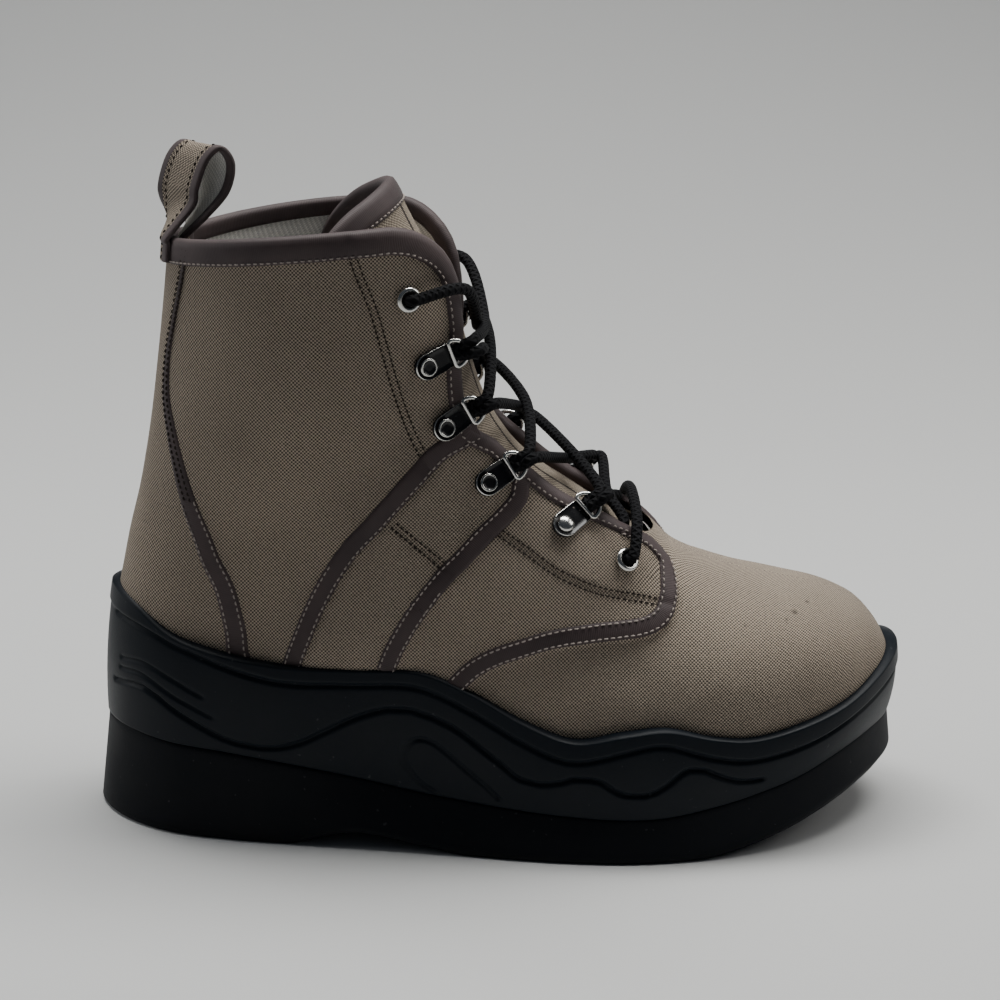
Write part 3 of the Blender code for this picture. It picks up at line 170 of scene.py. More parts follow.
# The tongue's rows: x, level, half width, depth of its edges and lean of that depth in degrees.
TONGUE = (
    (0.712, 0.440, 0.190, 0.060, 62.0),
    (0.672, 0.560, 0.225, 0.080, 58.0),
    (0.630, 0.660, 0.250, 0.110, 52.0),
    (0.585, 0.760, 0.262, 0.140, 44.0),
    (0.540, 0.860, 0.270, 0.180, 35.0),
    (0.505, 0.980, 0.280, 0.220, 26.0),
    (0.480, 1.140, 0.290, 0.250, 18.0),
    (0.462, 1.340, 0.300, 0.280, 14.0),
    (0.445, 1.560, 0.310, 0.300, 14.0),
    (0.420, 1.780, 0.315, 0.310, 18.0),
    (0.395, 1.960, 0.315, 0.310, 24.0),
    (0.372, 2.140, 0.310, 0.310, 32.0),
)
TONGUE_BEND = radians(80)
TONGUE_CORNER = 1.1

# Panel edges from the side.
STRAP_TOP = ((0.500, 1.060), (0.468, 1.010), (0.448, 0.982), (0.430, 0.948), (0.412, 0.881),
             (0.385, 0.781), (0.360, 0.685), (0.335, 0.595), (0.313, 0.490), (0.293, 0.367),
             (0.275, 0.226), (0.264, 0.120), (0.258, 0.000))
STRAP_LOW = ((0.560, 0.900), (0.534, 0.850), (0.529, 0.780), (0.512, 0.712), (0.486, 0.634),
             (0.461, 0.545), (0.441, 0.480), (0.419, 0.388), (0.398, 0.284), (0.380, 0.163),
             (0.366, 0.000))
QUARTER_LOW = ((0.672, 0.680), (0.681, 0.600), (0.692, 0.548), (0.701, 0.500), (0.708, 0.440),
               (0.709, 0.390), (0.704, 0.345), (0.692, 0.305), (0.666, 0.276), (0.615, 0.262),
               (0.563, 0.239), (0.526, 0.202), (0.498, 0.169), (0.477, 0.131), (0.462, 0.086),
               (0.440, 0.000))
QUARTER_TOP = ((0.560, 0.900), (0.650, 0.800))
COUNTER = ((0.136, 1.900), (0.128, 1.720), (0.116, 1.500), (0.106, 1.268), (0.1075, 1.144),
           (0.113, 1.015), (0.1235, 0.863), (0.1475, 0.621), (0.1625, 0.535), (0.174, 0.433),
           (0.1825, 0.330), (0.188, 0.217), (0.1935, 0.120), (0.196, 0.060))
EYESTAY = ((0.322, 2.000), (0.326, 1.939), (0.335, 1.823), (0.352, 1.646), (0.366, 1.444),
           (0.377, 1.282), (0.394, 1.089), (0.417, 0.912))
CROSS_SEAM = ((0.374, 0.712), (0.381, 0.685), (0.434, 0.540), (0.441, 0.520))
QUARTER_SEAM = ((0.490, 0.685), (0.503, 0.658), (0.529, 0.603), (0.558, 0.537), (0.588, 0.486),
                (0.626, 0.438), (0.666, 0.404), (0.700, 0.374))
STRAP_TACK = ((0.412, 0.455), (0.399, 0.400), (0.384, 0.330), (0.370, 0.250), (0.360, 0.160))

# Half width of a sunk seam in millimetres.
SUNK_HALF = 1.3

# Soft troughs and ridges in the cloth, from the side: ends as x and level, half width and
# height in millimetres.
CREASES = (
    (0.385, 1.000, 0.210, 0.640, 11.0, -1.3),
    (0.330, 1.780, 0.372, 1.080, 8.0, -0.8),
    (0.240, 1.450, 0.265, 0.850, 20.0, 0.9),
    (0.070, 0.560, 0.100, 0.180, 13.0, 0.9),
    (0.215, 0.250, 0.255, 0.600, 9.0, -0.6),
    (0.700, 0.330, 0.660, 0.130, 8.0, -0.7),
    (0.745, 0.420, 0.765, 0.130, 11.0, 0.6),
    (0.640, 0.170, 0.560, 0.150, 7.0, -0.5),
    (0.140, 1.860, 0.150, 1.450, 11.0, -0.6),
    (0.170, 0.980, 0.230, 0.520, 9.0, 0.5),
    (0.460, 0.430, 0.540, 0.330, 9.0, 0.6),
)

# Small stains on the toe: x, level and radius in millimetres, and the colour of dirt.
STAINS = ((0.790, 0.295, 0.8), (0.842, 0.300, 0.8), (0.853, 0.315, 1.7), (0.872, 0.330, 1.0))
SOIL = (0.03, 0.025, 0.02)

# Grooves in the midsole's side: x and height as a share of the way from the joint to the rim.
WAVE = ((0.023, 0.320), (0.070, 0.410), (0.103, 0.340), (0.136, 0.240), (0.168, 0.140),
        (0.199, 0.110), (0.230, 0.140), (0.261, 0.250), (0.292, 0.410), (0.323, 0.560),
        (0.355, 0.660), (0.386, 0.690), (0.417, 0.670), (0.448, 0.630), (0.479, 0.530),
        (0.500, 0.460), (0.519, 0.375), (0.543, 0.370), (0.570, 0.460), (0.588, 0.540),
        (0.615, 0.505), (0.635, 0.370), (0.654, 0.300), (0.678, 0.300), (0.698, 0.390),
        (0.721, 0.560), (0.740, 0.580), (0.761, 0.475), (0.785, 0.345), (0.813, 0.260))
RIM_GROOVE = ((0.020, 0.830), (0.049, 0.860), (0.087, 0.920), (0.129, 0.930), (0.163, 0.900),
              (0.232, 0.840), (0.308, 0.860), (0.386, 0.880), (0.448, 0.850), (0.509, 0.800),
              (0.571, 0.740), (0.624, 0.780), (0.686, 0.840), (0.739, 0.760), (0.801, 0.650),
              (0.879, 0.610), (0.922, 0.650), (0.990, 0.700))
DROP = ((0.495, 0.086), (0.479, 0.190), (0.454, 0.310), (0.433, 0.405), (0.414, 0.463),
        (0.398, 0.456), (0.386, 0.370), (0.383, 0.255), (0.389, 0.177), (0.402, 0.084),
        (0.417, 0.030))
HEEL_LINES = (((0.033, 0.530), (0.071, 0.620), (0.108, 0.610), (0.143, 0.540)),
              ((0.032, 0.450), (0.070, 0.510), (0.120, 0.435), (0.155, 0.350)))

# The lacing rows from the bottom: kind of hardware, its place and the place that it points to.
LACING = (
    ("eyelet", 0.645, 0.544, 0.660, 0.600),
    ("ring", 0.571, 0.681, 0.600, 0.733),
    ("ring", 0.480, 0.857, 0.510, 0.912),
    ("ring", 0.430, 1.095, 0.458, 1.164),
    ("ring", 0.409, 1.382, 0.437, 1.432),
    ("eyelet", 0.389, 1.691, 0.420, 1.740),
)
PLATE_WIDTH = 0.010
PLATE_REACH = 0.0125
PLATE_THICKNESS = 0.0010
RIVET_HEIGHT = 0.0009
RING_WIRE = 0.0017
RING_RADIUS = 0.0053
RING_BAR = 0.0110
RING_TILT = radians(14)
EYELET_RADIUS = 0.0049
LACE_RADIUS = 0.0022
LACE_LEAN = radians(40)
LACE_OVER, LACE_UNDER = 0.0013, -0.0022
BRAID_PITCH = 0.0026
BRAID_YARNS = 4
LACE_CREST = ((0.660, 0.726), (0.626, 0.720), (0.583, 0.880), (0.525, 1.108),
              (0.482, 1.386), (0.475, 1.494))

# The pull loop's free part: middle of the tape as x and level, and its turn in degrees.
LOOP = (
    (0.1200, 2.040, 36.0),
    (0.1220, 2.120, 41.0),
    (0.1340, 2.245, 42.0),
    (0.1510, 2.300, 42.0),
    (0.1640, 2.230, 41.0),
    (0.1600, 2.110, 36.0),
    (0.1430, 2.000, 24.0),
)
LOOP_WIDTH = 0.026
LOOP_THICKNESS = 0.0018
LOOP_FOOT = 0.32

# Sewing
TAPE_WIDTH = 0.0076
COLLAR_TAPE = 0.0075
EDGE_TAPE = 0.0052
TAPE_HEIGHT = 0.0009
FOLD_STEP = 0.001
COUNTER_HEIGHT = 0.0006
COUNTER_WIDE = 0.0029
COUNTER_NARROW = 0.0012
STITCH_INSET = 0.0011
STITCH_PITCH = 0.0026
DARK_PITCH = 0.0023
STITCH_LENGTH = 0.0018
THREAD = 0.00032
DARK_THREAD_SIZE = 0.00036
THREAD_LIFT = 0.0001
SEAM_HALF = 0.0013
CLOTH_PITCH = 0.00070
EDGE_BLEND = 0.0012
FLAP_BLEND = 0.0010
STAY_BLEND = 0.0014
STAY_STEP = 0.0005
SEAM_DEPTH = 0.00045

# Stations along the tapes, and the station from which a second row of stitches runs.
STRAP_STATIONS = 170
QUARTER_STATIONS = 260
COUNTER_STATIONS = 200
STRAP_TOP_SECOND = 90
STRAP_LOW_SECOND = 80
QUARTER_SECOND = 80
COUNTER_SECOND = 100

# Moulded relief of the midsole: depth and half width of its grooves, its bulge and its rim.
WAVE_CUT = (0.0015, 0.0008)
DROP_CUT = (0.0010, 0.0007)
HEEL_CUT = (0.0009, 0.0007)
RIM_CUT = (0.0011, 0.0008)
SIDE_BULGE = 0.0014
RIM_SWELL = 0.0007

# Bars across the tread
TREAD_PITCH = 0.019
TREAD_GROOVE = 0.004
TREAD_DEPTH = 0.003
TREAD_MARGIN = 0.011
TREAD_BLEND = 0.0008
TREAD_ZONES = ((0.060, 0.250), (0.470, 0.780))

# Backdrop: half width, where its floor ends, radius of its bend and its top.
STAGE_HALF = 6.0
STAGE_DEPTH = 0.5
STAGE_BEND = 1.4
STAGE_TOP = 2.8

# The toe's row of the sole's edge, the number of rows round both sides, and the places that
# the sole's sides are drawn at.
TOE_ROW = len(RIM_OUTER) - 1
RIM_ROWS = TOE_ROW + len(RIM_INNER) - 1
ROUND_SOLE = np.linspace(0, RIM_ROWS, 880, endpoint=False)


def spline(rows, t):
    """Catmull-Rom curve through the rows of a table, read at t (0 is the first row)."""
    rows = np.asarray(rows, float)
    t = np.asarray(t, float)
    last = len(rows) - 1
    i = np.clip(np.floor(t).astype(int), 0, last - 1)
    f = (t - i)[..., None]
    a, b, c, d = (rows[np.clip(i + step, 0, last)] for step in (-1, 0, 1, 2))
    a = np.where((i == 0)[..., None], 2 * b - c, a)
    d = np.where((i == last - 1)[..., None], 2 * c - b, d)
    return 0.5 * (2 * b + (c - a) * f + (2 * a - 5 * b + 4 * c - d) * f**2
                  + (3 * b - a - 3 * c + d) * f**3)


def unit(v):
    """Vectors scaled to length 1."""
    return v / np.maximum(np.linalg.norm(v, axis=-1, keepdims=True), 1e-12)


def soft(x):
    """0 below 0, 1 above 1 and a smooth step between."""
    x = np.clip(x, 0, 1)
    return x * x * (3 - 2 * x)


def pair(first, second):
    """Two arrays as the last axis of one, spread to a common shape."""
    return np.stack(np.broadcast_arrays(first, second), -1)


def lengths(path):
    """Distance along a path from its first point to each point."""
    steps = np.linalg.norm(np.diff(path, axis=0), axis=1)
    return np.concatenate([[0.0], np.cumsum(steps)])


def even(path, count):
    """A smooth curve through the points of a path, read at count evenly spaced places."""
    path = np.asarray(path, float)
    dense = spline(path, np.linspace(0, len(path) - 1, 12 * len(path)))
    s = lengths(dense)
    want = np.linspace(0, s[-1], count)
    return np.stack([np.interp(want, s, dense[:, k]) for k in range(dense.shape[1])], 1)


def height_of(level):
    """Height above the floor of a level."""
    level = np.asarray(level, float)
    low = np.minimum(level, 1.0) * INSTEP_HEIGHT
    high = np.maximum(level - 1.0, 0.0) * SHAFT_HEIGHT
    return SEAT_HEIGHT + low + high


def side_points(table):
    """Side-view points, x and level, in metres."""
    rows = np.asarray(table, float)
    return np.stack([rows[:, 0] * SOLE_LENGTH, height_of(rows[:, 1])], 1)


def section_rows():
    """SECTIONS in metres."""
    rows = np.array(SECTIONS)
    rows[:, [0, 2]] *= SOLE_LENGTH
    rows[:, [1, 3]] = height_of(rows[:, [1, 3]])
    rows[:, 4:7] *= BALL_WIDTH
    return rows


SECTION_ROWS = section_rows()
LAST = len(SECTIONS) - 1.0


def crown_of(u, along):
    """How far the collar's top edge rises between back and front."""
    return COLLAR_CROWN * np.clip(1 - u / 2, 0, 1) * 4 * along * (1 - along)


def upper_skin(u, a):
    """Outer surface of the last: two superellipse quarters on each side of a section,
    y = half width * |sin a| ** (2/n), along = widest + (1 - widest) * |cos a| ** (2/n)."""
    u, a = np.broadcast_arrays(np.asarray(u, float), np.asarray(a, float))
    row = np.moveaxis(spline(SECTION_ROWS, u), -1, 0)
    back_x, back_z, front_x, front_z, out, inn, shift, widest, front_n, back_n = row
    c, s = np.cos(a), np.sin(a)
    power = 2.0 / np.where(c >= 0, front_n, back_n)
    reach = np.abs(c) ** power
    along = np.where(c >= 0, widest + (1 - widest) * reach, widest * (1 - reach))
    half = np.where(s >= 0, out, inn)
    x = back_x + (front_x - back_x) * along
    y = shift - np.sign(s) * np.abs(s) ** power * half
    z = back_z + (front_z - back_z) * along + crown_of(u, along)
    return np.stack([x, y, z], -1)


def upper_normal(u, a):
    """Outward direction of the last's surface, from small steps both ways."""
    e = 1e-3
    down = upper_skin(np.minimum(u + e, LAST), a) - upper_skin(np.maximum(u - e, 0), a)
    around = upper_skin(u, a + e) - upper_skin(u, a - e)
    return unit(np.cross(around, down))


def over_skin(u, a, lift):
    """Place at a height over the last's surface, or under it where lift is negative."""
    return upper_skin(u, a) + upper_normal(u, a) * lift


def place_from_side(points, side):
    """(u, a) of side-view points in metres.  A section is a straight line from the side, so u
    is where the point crosses the line from back to front, and a follows from its share."""
    points = np.asarray(points, float)
    u = np.linspace(0, LAST, 2201)
    row = spline(SECTION_ROWS, u)
    back, front = row[:, 0:2], row[:, 2:4]
    reach = front - back
    x, z = points[:, 0].copy(), points[:, 1].copy()
    for _ in range(3):
        turn = (x[:, None] - back[:, 0]) * reach[:, 1] - (z[:, None] - back[:, 1]) * reach[:, 0]
        cross = (turn[:, 1:] >= 0) & (turn[:, :-1] < 0)
        hit = np.where(cross.any(1), cross.argmax(1), np.abs(turn[:, :-1]).argmin(1))
        here = np.arange(len(x))
        low, high = turn[here, hit], turn[here, hit + 1]
        f = np.clip(low / np.where(low == high, 1.0, low - high), 0, 1)
        place = u[hit] + f * (u[1] - u[0])
        r = spline(SECTION_ROWS, place)
        way = r[:, 2:4] - r[:, 0:2]
        along = ((x - r[:, 0]) * way[:, 0] + (z - r[:, 1]) * way[:, 1]) / (way ** 2).sum(1)
        along = np.clip(along, 0, 1)
        z = points[:, 1] - crown_of(place, along)
    widest, front_n, back_n = r[:, 7], r[:, 8], r[:, 9]
    ahead = np.clip((along - widest) / (1 - widest), 0, 1) ** (front_n / 2)
    behind = np.clip((widest - along) / widest, 0, 1) ** (back_n / 2)
    return place, -side * np.arccos(np.clip(ahead - behind, -1, 1))


def distance_to(points, path):
    """Distance from each 2-D point to a path."""
    a, b = path[:-1], path[1:]
    way = b - a
    t = ((points[:, None] - a) * way).sum(-1) / np.maximum((way ** 2).sum(-1), 1e-12)
    near = a + np.clip(t, 0, 1)[..., None] * way
    return np.linalg.norm(points[:, None] - near, axis=-1).min(1)


def inside_of(points, outline):
    """Whether each 2-D point lies inside a closed outline, by counting crossings."""
    a, b = outline, np.roll(outline, -1, 0)
    x, y = points[:, 0, None], points[:, 1, None]
    spans = (a[:, 1] > y) != (b[:, 1] > y)
    rise = np.where(b[:, 1] == a[:, 1], 1e-12, b[:, 1] - a[:, 1])
    left = x < a[:, 0] + (y - a[:, 1]) / rise * (b[:, 0] - a[:, 0])
    return (spans & left).sum(1) % 2 == 1


def step_inside(points, outline, blend):
    """1 inside an outline, 0 outside and a smooth step over blend at its edge."""
    gap = distance_to(points, np.concatenate([outline, outline[:1]]))
    sign = np.where(inside_of(points, outline), 1.0, -1.0)
    return soft(0.5 + sign * gap / blend)


def panel_outlines():
    """Strap, quarter and eyestay outlines from the side, in metres."""
    top, low = side_points(STRAP_TOP), side_points(STRAP_LOW)
    strap = np.concatenate([even(top, 60), even(low[::-1], 60)])
    quarter = np.concatenate([even(low[::-1], 60), side_points(QUARTER_TOP),
                              even(side_points(QUARTER_LOW), 80)])
    stay = even(side_points(EYESTAY), 60)
    front = side_points(((0.60, 0.90), (0.60, 2.20), (0.322, 2.20)))
    return strap, quarter, np.concatenate([stay, front])


STRAP_OUTLINE, QUARTER_OUTLINE, STAY_OUTLINE = panel_outlines()


def relief(u, a):
    """Height of the cloth over the last: panels laid on it, soft creases and sunk seams."""
    p = upper_skin(u, a)
    flat = p[..., [0, 2]].reshape(-1, 2)
    lift = OVERLAY * step_inside(flat, STRAP_OUTLINE, EDGE_BLEND)
    rows, halves = np.array(FLAP).T
    edge = np.interp(u, rows, halves).reshape(-1) * BALL_WIDTH
    clear = soft((np.abs(p[..., 1]).reshape(-1) - edge) / FLAP_BLEND)
    lift = np.maximum(lift, OVERLAY * clear * step_inside(flat, QUARTER_OUTLINE, EDGE_BLEND))
    lift += STAY_STEP * step_inside(flat, STAY_OUTLINE, STAY_BLEND) * (lift < OVERLAY / 2)
    for x0, l0, x1, l1, half, rise in CREASES:
        gap = distance_to(flat, side_points(((x0, l0), (x1, l1)))) * 1000 / half
        lift += rise / 1000 * np.exp(-gap ** 2)
    for table in (EYESTAY, CROSS_SEAM, QUARTER_SEAM):
        gap = distance_to(flat, even(side_points(table), 30)) * 1000 / SUNK_HALF
        lift -= SEAM_DEPTH * np.exp(-gap ** 2)
    return lift.reshape(p.shape[:-1])


def skin_at(u, a, lift=0.0):
    """Place on the dressed upper's surface, moved outwards by lift."""
    u, a = np.broadcast_arrays(np.asarray(u, float), np.asarray(a, float))
    return over_skin(u, a, (relief(u, a) + lift)[..., None])


def across_path(u, a):
    """Direction over the surface across a path of (u, a), to its left."""
    return unit(np.cross(upper_normal(u, a), unit(np.gradient(upper_skin(u, a), axis=0))))


def slide(u, a, step):
    """(u, a) moved over the surface by a step in space, by two Newton steps."""
    start = upper_skin(u, a)
    e = 1e-3
    for _ in range(2):
        left = start + step - upper_skin(u, a)
        pu = upper_skin(np.minimum(u + e, LAST), a) - upper_skin(np.maximum(u - e, 0), a)
        pu /= (np.minimum(u + e, LAST) - np.maximum(u - e, 0))[..., None]
        pa = (upper_skin(u, a + e) - upper_skin(u, a - e)) / (2 * e)
        m11, m12, m22 = (pu * pu).sum(-1), (pu * pa).sum(-1), (pa * pa).sum(-1)
        b1, b2 = (pu * left).sum(-1), (pa * left).sum(-1)
        det = np.maximum(m11 * m22 - m12 ** 2, 1e-16)
        u = np.clip(u + (b1 * m22 - b2 * m12) / det, 0, LAST)
        a = a + (b2 * m11 - b1 * m12) / det
    return u, a


def throat_angle(u, side):
    """Angle of a flap's edge: where the section is as far from the middle as THROAT says."""
    rows, halves = np.array(THROAT).T
    half = np.interp(u, rows, halves) * BALL_WIDTH
    row = spline(SECTION_ROWS, u)
    wide = np.where(side == OUTER, row[..., 4], row[..., 5])
    share = np.clip((half - side * row[..., 6]) / wide, 0, 1)
    share = np.where(u >= rows[-1], 0.0, share)
    return np.arcsin(share ** (row[..., 8] / 2))


def bed_height(x):
    """Top of the midsole inside the cup."""
    share = np.asarray(x, float) / SOLE_LENGTH
    t = soft((share - 0.28) / 0.34)
    rise = np.clip((share - 0.66) / 0.34, 0, 1) ** 1.6 * TOE_SPRING
    return SEAT_HEIGHT * (1 - t) + (FOREFOOT_STACK + BALL_THICKNESS) * t + rise


def grid_quads(rows, cols, round_rows=False, round_cols=False):
    """Quads of a grid of points, closed on itself where asked."""
    i = np.arange(rows if round_rows else rows - 1)
    j = np.arange(cols if round_cols else cols - 1)
    i, j = np.meshgrid(i, j, indexing="ij")
    n, m = (i + 1) % rows, (j + 1) % cols
    quads = np.stack([i * cols + j, n * cols + j, n * cols + m, i * cols + m], -1)
    return quads.reshape(-1, 4)


def link(name, data):
    """A new object in the scene that shows data."""
    obj = bpy.data.objects.new(name, data)
    bpy.context.scene.collection.objects.link(obj)
    return obj


def piece(name, grid, mats, away, quads=None, uv=None, index=None):
    """A smooth mesh that rides on the boot.  away is a direction, or one per point, that its
    faces look to, quads are the grid's own where not given, uv is given per point, and index
    picks a material per quad."""
    if quads is None:
        quads = grid_quads(*grid.shape[:2])
    points = grid.reshape(-1, 3)
    away = np.broadcast_to(away.reshape(-1, 3), points.shape)
    corner = points[quads]
    n = np.cross(corner[:, 2] - corner[:, 0], corner[:, 3] - corner[:, 1])
    if np.sum(n * away[quads[:, 0]]) < 0:
        quads = quads[:, ::-1]
    mesh = bpy.data.meshes.new(name)
    mesh.vertices.add(len(points))
    mesh.vertices.foreach_set("co", (points + ORIGIN).ravel())
    mesh.loops.add(quads.size)
    mesh.loops.foreach_set("vertex_index", quads.ravel())
    mesh.polygons.add(len(quads))
    mesh.polygons.foreach_set("loop_start", np.arange(0, quads.size, 4))
    mesh.polygons.foreach_set("loop_total", np.full(len(quads), 4))
    for mat in mats:
        mesh.materials.append(mat)
    if index is not None:
        mesh.polygons.foreach_set("material_index", np.asarray(index, np.int32))
    mesh.update(calc_edges=True)
    if uv is not None:
        layer = mesh.uv_layers.new(name="UVMap")
        layer.data.foreach_set("uv", uv.reshape(-1, 2)[quads.ravel()].ravel())
    mesh.shade_smooth()
    obj = link(name, mesh)
    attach(obj, "root")
    return obj


# Shader building


def feed(tree, socket, value):
    """Link a socket to another, or set its constant, a colour as three numbers."""
    if isinstance(value, bpy.types.NodeSocket):
        tree.links.new(value, socket)
    else:
        socket.default_value = (*value, 1) if socket.type == "RGBA" else value


def calc(tree, operation, *values):
    """A Math node's result."""
    node = tree.nodes.new("ShaderNodeMath")
    node.operation = operation
    for socket, value in zip(node.inputs, values):
        feed(tree, socket, value)
    return node.outputs[0]


def blend(tree, factor, a, b):
    """Two colours mixed."""
    node = tree.nodes.new("ShaderNodeMix")
    node.data_type = "RGBA"
    feed(tree, node.inputs[0], factor)
    feed(tree, node.inputs[6], a)
    feed(tree, node.inputs[7], b)
    return node.outputs[2]


def spread(tree, value, low, high, to_low=0.0, to_high=1.0):
    """A value mapped from one range to another, clamped."""
    node = tree.nodes.new("ShaderNodeMapRange")
    feed(tree, node.inputs["Value"], value)
    for key, number in (("From Min", low), ("From Max", high), ("To Min", to_low),
                        ("To Max", to_high)):
        feed(tree, node.inputs[key], number)
    return node.outputs["Result"]


def noise(tree, vector, scale, detail=3.0, rough=0.5):
    """Noise value at a place."""
    node = tree.nodes.new("ShaderNodeTexNoise")
    feed(tree, node.inputs["Vector"], vector)
    feed(tree, node.inputs["Scale"], scale)
    node.inputs["Detail"].default_value = detail
    node.inputs["Roughness"].default_value = rough
    return node.outputs["Fac"]


def group(name, inputs, outputs):
    """An empty node group with named sockets: its tree, its inputs and its output node."""
    tree = bpy.data.node_groups.new(name, "ShaderNodeTree")
    for key, kind, value in inputs:
        socket = tree.interface.new_socket(key, in_out="INPUT", socket_type="NodeSocket" + kind)
        if value is not None:
            socket.default_value = value
    for key, kind in outputs:
        tree.interface.new_socket(key, in_out="OUTPUT", socket_type="NodeSocket" + kind)
    return tree, tree.nodes.new("NodeGroupInput").outputs, tree.nodes.new("NodeGroupOutput").inputs


def use(tree, grp, **values):
    """A group placed in a material: its outputs, once its inputs have their values."""
    node = tree.nodes.new("ShaderNodeGroup")
    node.node_tree = grp
    for key, value in values.items():
        feed(tree, node.inputs[key], value)
    return node.outputs


def split_uv(tree, vector):
    """The components of a vector."""
    node = tree.nodes.new("ShaderNodeSeparateXYZ")
    tree.links.new(vector, node.inputs[0])
    return node.outputs


def weave_group():
    """Plain weave: sin(pi U) sin(pi V) gives bright floats in brick order, with uneven yarn."""
    tree, given, out = group(
        "plain_weave",
        (("UV", "Vector", None), ("Pitch", "Float", 0.0009), ("Light", "Color", (1, 1, 1, 1)),
         ("Dark", "Color", (0, 0, 0, 1))),
        (("Color", "Color"), ("Height", "Float")))
    wander = calc(tree, "MULTIPLY", noise(tree, given["UV"], 260.0, 2.0), 0.9)
    waves = []
    for part in split_uv(tree, given["UV"])[:2]:
        turn = calc(tree, "ADD", calc(tree, "DIVIDE", part, given["Pitch"]), wander)
        waves.append(calc(tree, "SINE", calc(tree, "MULTIPLY", turn, pi)))
    cell = calc(tree, "MULTIPLY", *waves)
    yarn = noise(tree, given["UV"], 700.0, 2.0)
    lit = spread(tree, calc(tree, "ADD", cell, calc(tree, "MULTIPLY", yarn, 0.5)), -0.35, 0.95)
    tree.links.new(blend(tree, lit, given["Dark"], given["Light"]), out["Color"])
    gap = calc(tree, "MULTIPLY", *(calc(tree, "ABSOLUTE", wave) for wave in waves))
    height = calc(tree, "ADD", calc(tree, "MULTIPLY", cell, 0.45), gap)
    tree.links.new(height, out["Height"])
    return tree


def wear_group():
    """Tone of handled cloth or rubber: broad patches and small specks, as factors."""
    tree, given, out = group(
        "wear", (("Place", "Vector", None), ("Patch", "Float", 18.0), ("Speck", "Float", 900.0)),
        (("Patches", "Float"), ("Specks", "Float")))
    broad = noise(tree, given["Place"], given["Patch"], 4.0, 0.6)
    tree.links.new(spread(tree, broad, 0.3, 0.7), out["Patches"])
    fine = noise(tree, given["Place"], given["Speck"], 1.0)
    tree.links.new(spread(tree, fine, 0.74, 0.80), out["Specks"])
    return tree


def ribs_group():
    """Fine parallel ribs along one axis of the UV map."""
    tree, given, out = group(
        "fine_ribs", (("UV", "Vector", None), ("Pitch", "Float", 0.0006)), (("Height", "Float"),))
    turn = calc(tree, "DIVIDE", split_uv(tree, given["UV"])[0], given["Pitch"])
    wave = calc(tree, "SINE", calc(tree, "MULTIPLY", turn, 2 * pi))
    tree.links.new(calc(tree, "MULTIPLY_ADD", wave, 0.5, 0.5), out["Height"])
    return tree


def spot_group():
    """A small uneven stain round a centre."""
    tree, given, out = group(
        "spot",
        (("Place", "Vector", None), ("Centre", "Vector", None), ("Radius", "Float", 0.001)),
        (("Mask", "Float"),))
    far = tree.nodes.new("ShaderNodeVectorMath")
    far.operation = "DISTANCE"
    tree.links.new(given["Place"], far.inputs[0])
    tree.links.new(given["Centre"], far.inputs[1])
    share = calc(tree, "DIVIDE", far.outputs["Value"], given["Radius"])
    share = calc(tree, "ADD", share, noise(tree, given["Place"], 900.0, 2.0))
    tree.links.new(spread(tree, share, 0.7, 1.6, 1.0, 0.0), out["Mask"])
    return tree


WEAVE, WEAR, RIBS, SPOT = weave_group(), wear_group(), ribs_group(), spot_group()


def material(name, colour, roughness, metallic=0.0, bump=0.0, sheen=0.0, gloss=0.5):
    """A material, its tree, its shader and its Bump node where one is asked for."""
    mat = bpy.data.materials.new(name)
    mat.use_nodes = True
    tree = mat.node_tree
    shader = tree.nodes["Principled BSDF"]
    feed(tree, shader.inputs["Base Color"], colour)
    feed(tree, shader.inputs["Roughness"], roughness)
    feed(tree, shader.inputs["Metallic"], metallic)
    feed(tree, shader.inputs["Sheen Weight"], sheen)
    feed(tree, shader.inputs["Specular IOR Level"], gloss)
    node = None
    if bump:
        node = tree.nodes.new("ShaderNodeBump")
        node.inputs["Distance"].default_value = bump
        node.inputs["Strength"].default_value = 1.0
        tree.links.new(node.outputs["Normal"], shader.inputs["Normal"])
    return mat, tree, shader, node


def coords(tree, kind):
    """UV or Object coordinates in a material."""
    return tree.nodes.new("ShaderNodeTexCoord").outputs[kind]


def cloth(name, light, dark, pitch, soil=0.0):
    """Woven cloth, broadly uneven, with dust and stains where soil is asked for."""
    mat, tree, shader, node = material(name, light, 0.85, bump=0.00012, gloss=0.25)
    made = use(tree, WEAVE, UV=coords(tree, "UV"), Pitch=pitch, Light=light, Dark=dark)
    place = coords(tree, "Object")
    wear = use(tree, WEAR, Place=place, Patch=14.0, Speck=520.0)
    shade = blend(tree, spread(tree, wear["Patches"], 0, 1, 0.0, 0.22), made["Color"], dark)
    if soil:
        shade = blend(tree, calc(tree, "MULTIPLY", wear["Specks"], soil), shade, SOIL)
        for x, level, radius in STAINS:
            u, a = place_from_side(side_points([(x, level)]), OUTER)
            spot = use(tree, SPOT, Place=place, Radius=radius / 1000,
                       Centre=tuple(upper_skin(u, a)[0] + ORIGIN))
            shade = blend(tree, calc(tree, "MULTIPLY", spot["Mask"], 0.75), shade, SOIL)
    feed(tree, shader.inputs["Base Color"], shade)
    feed(tree, node.inputs["Height"], made["Height"])
    return mat


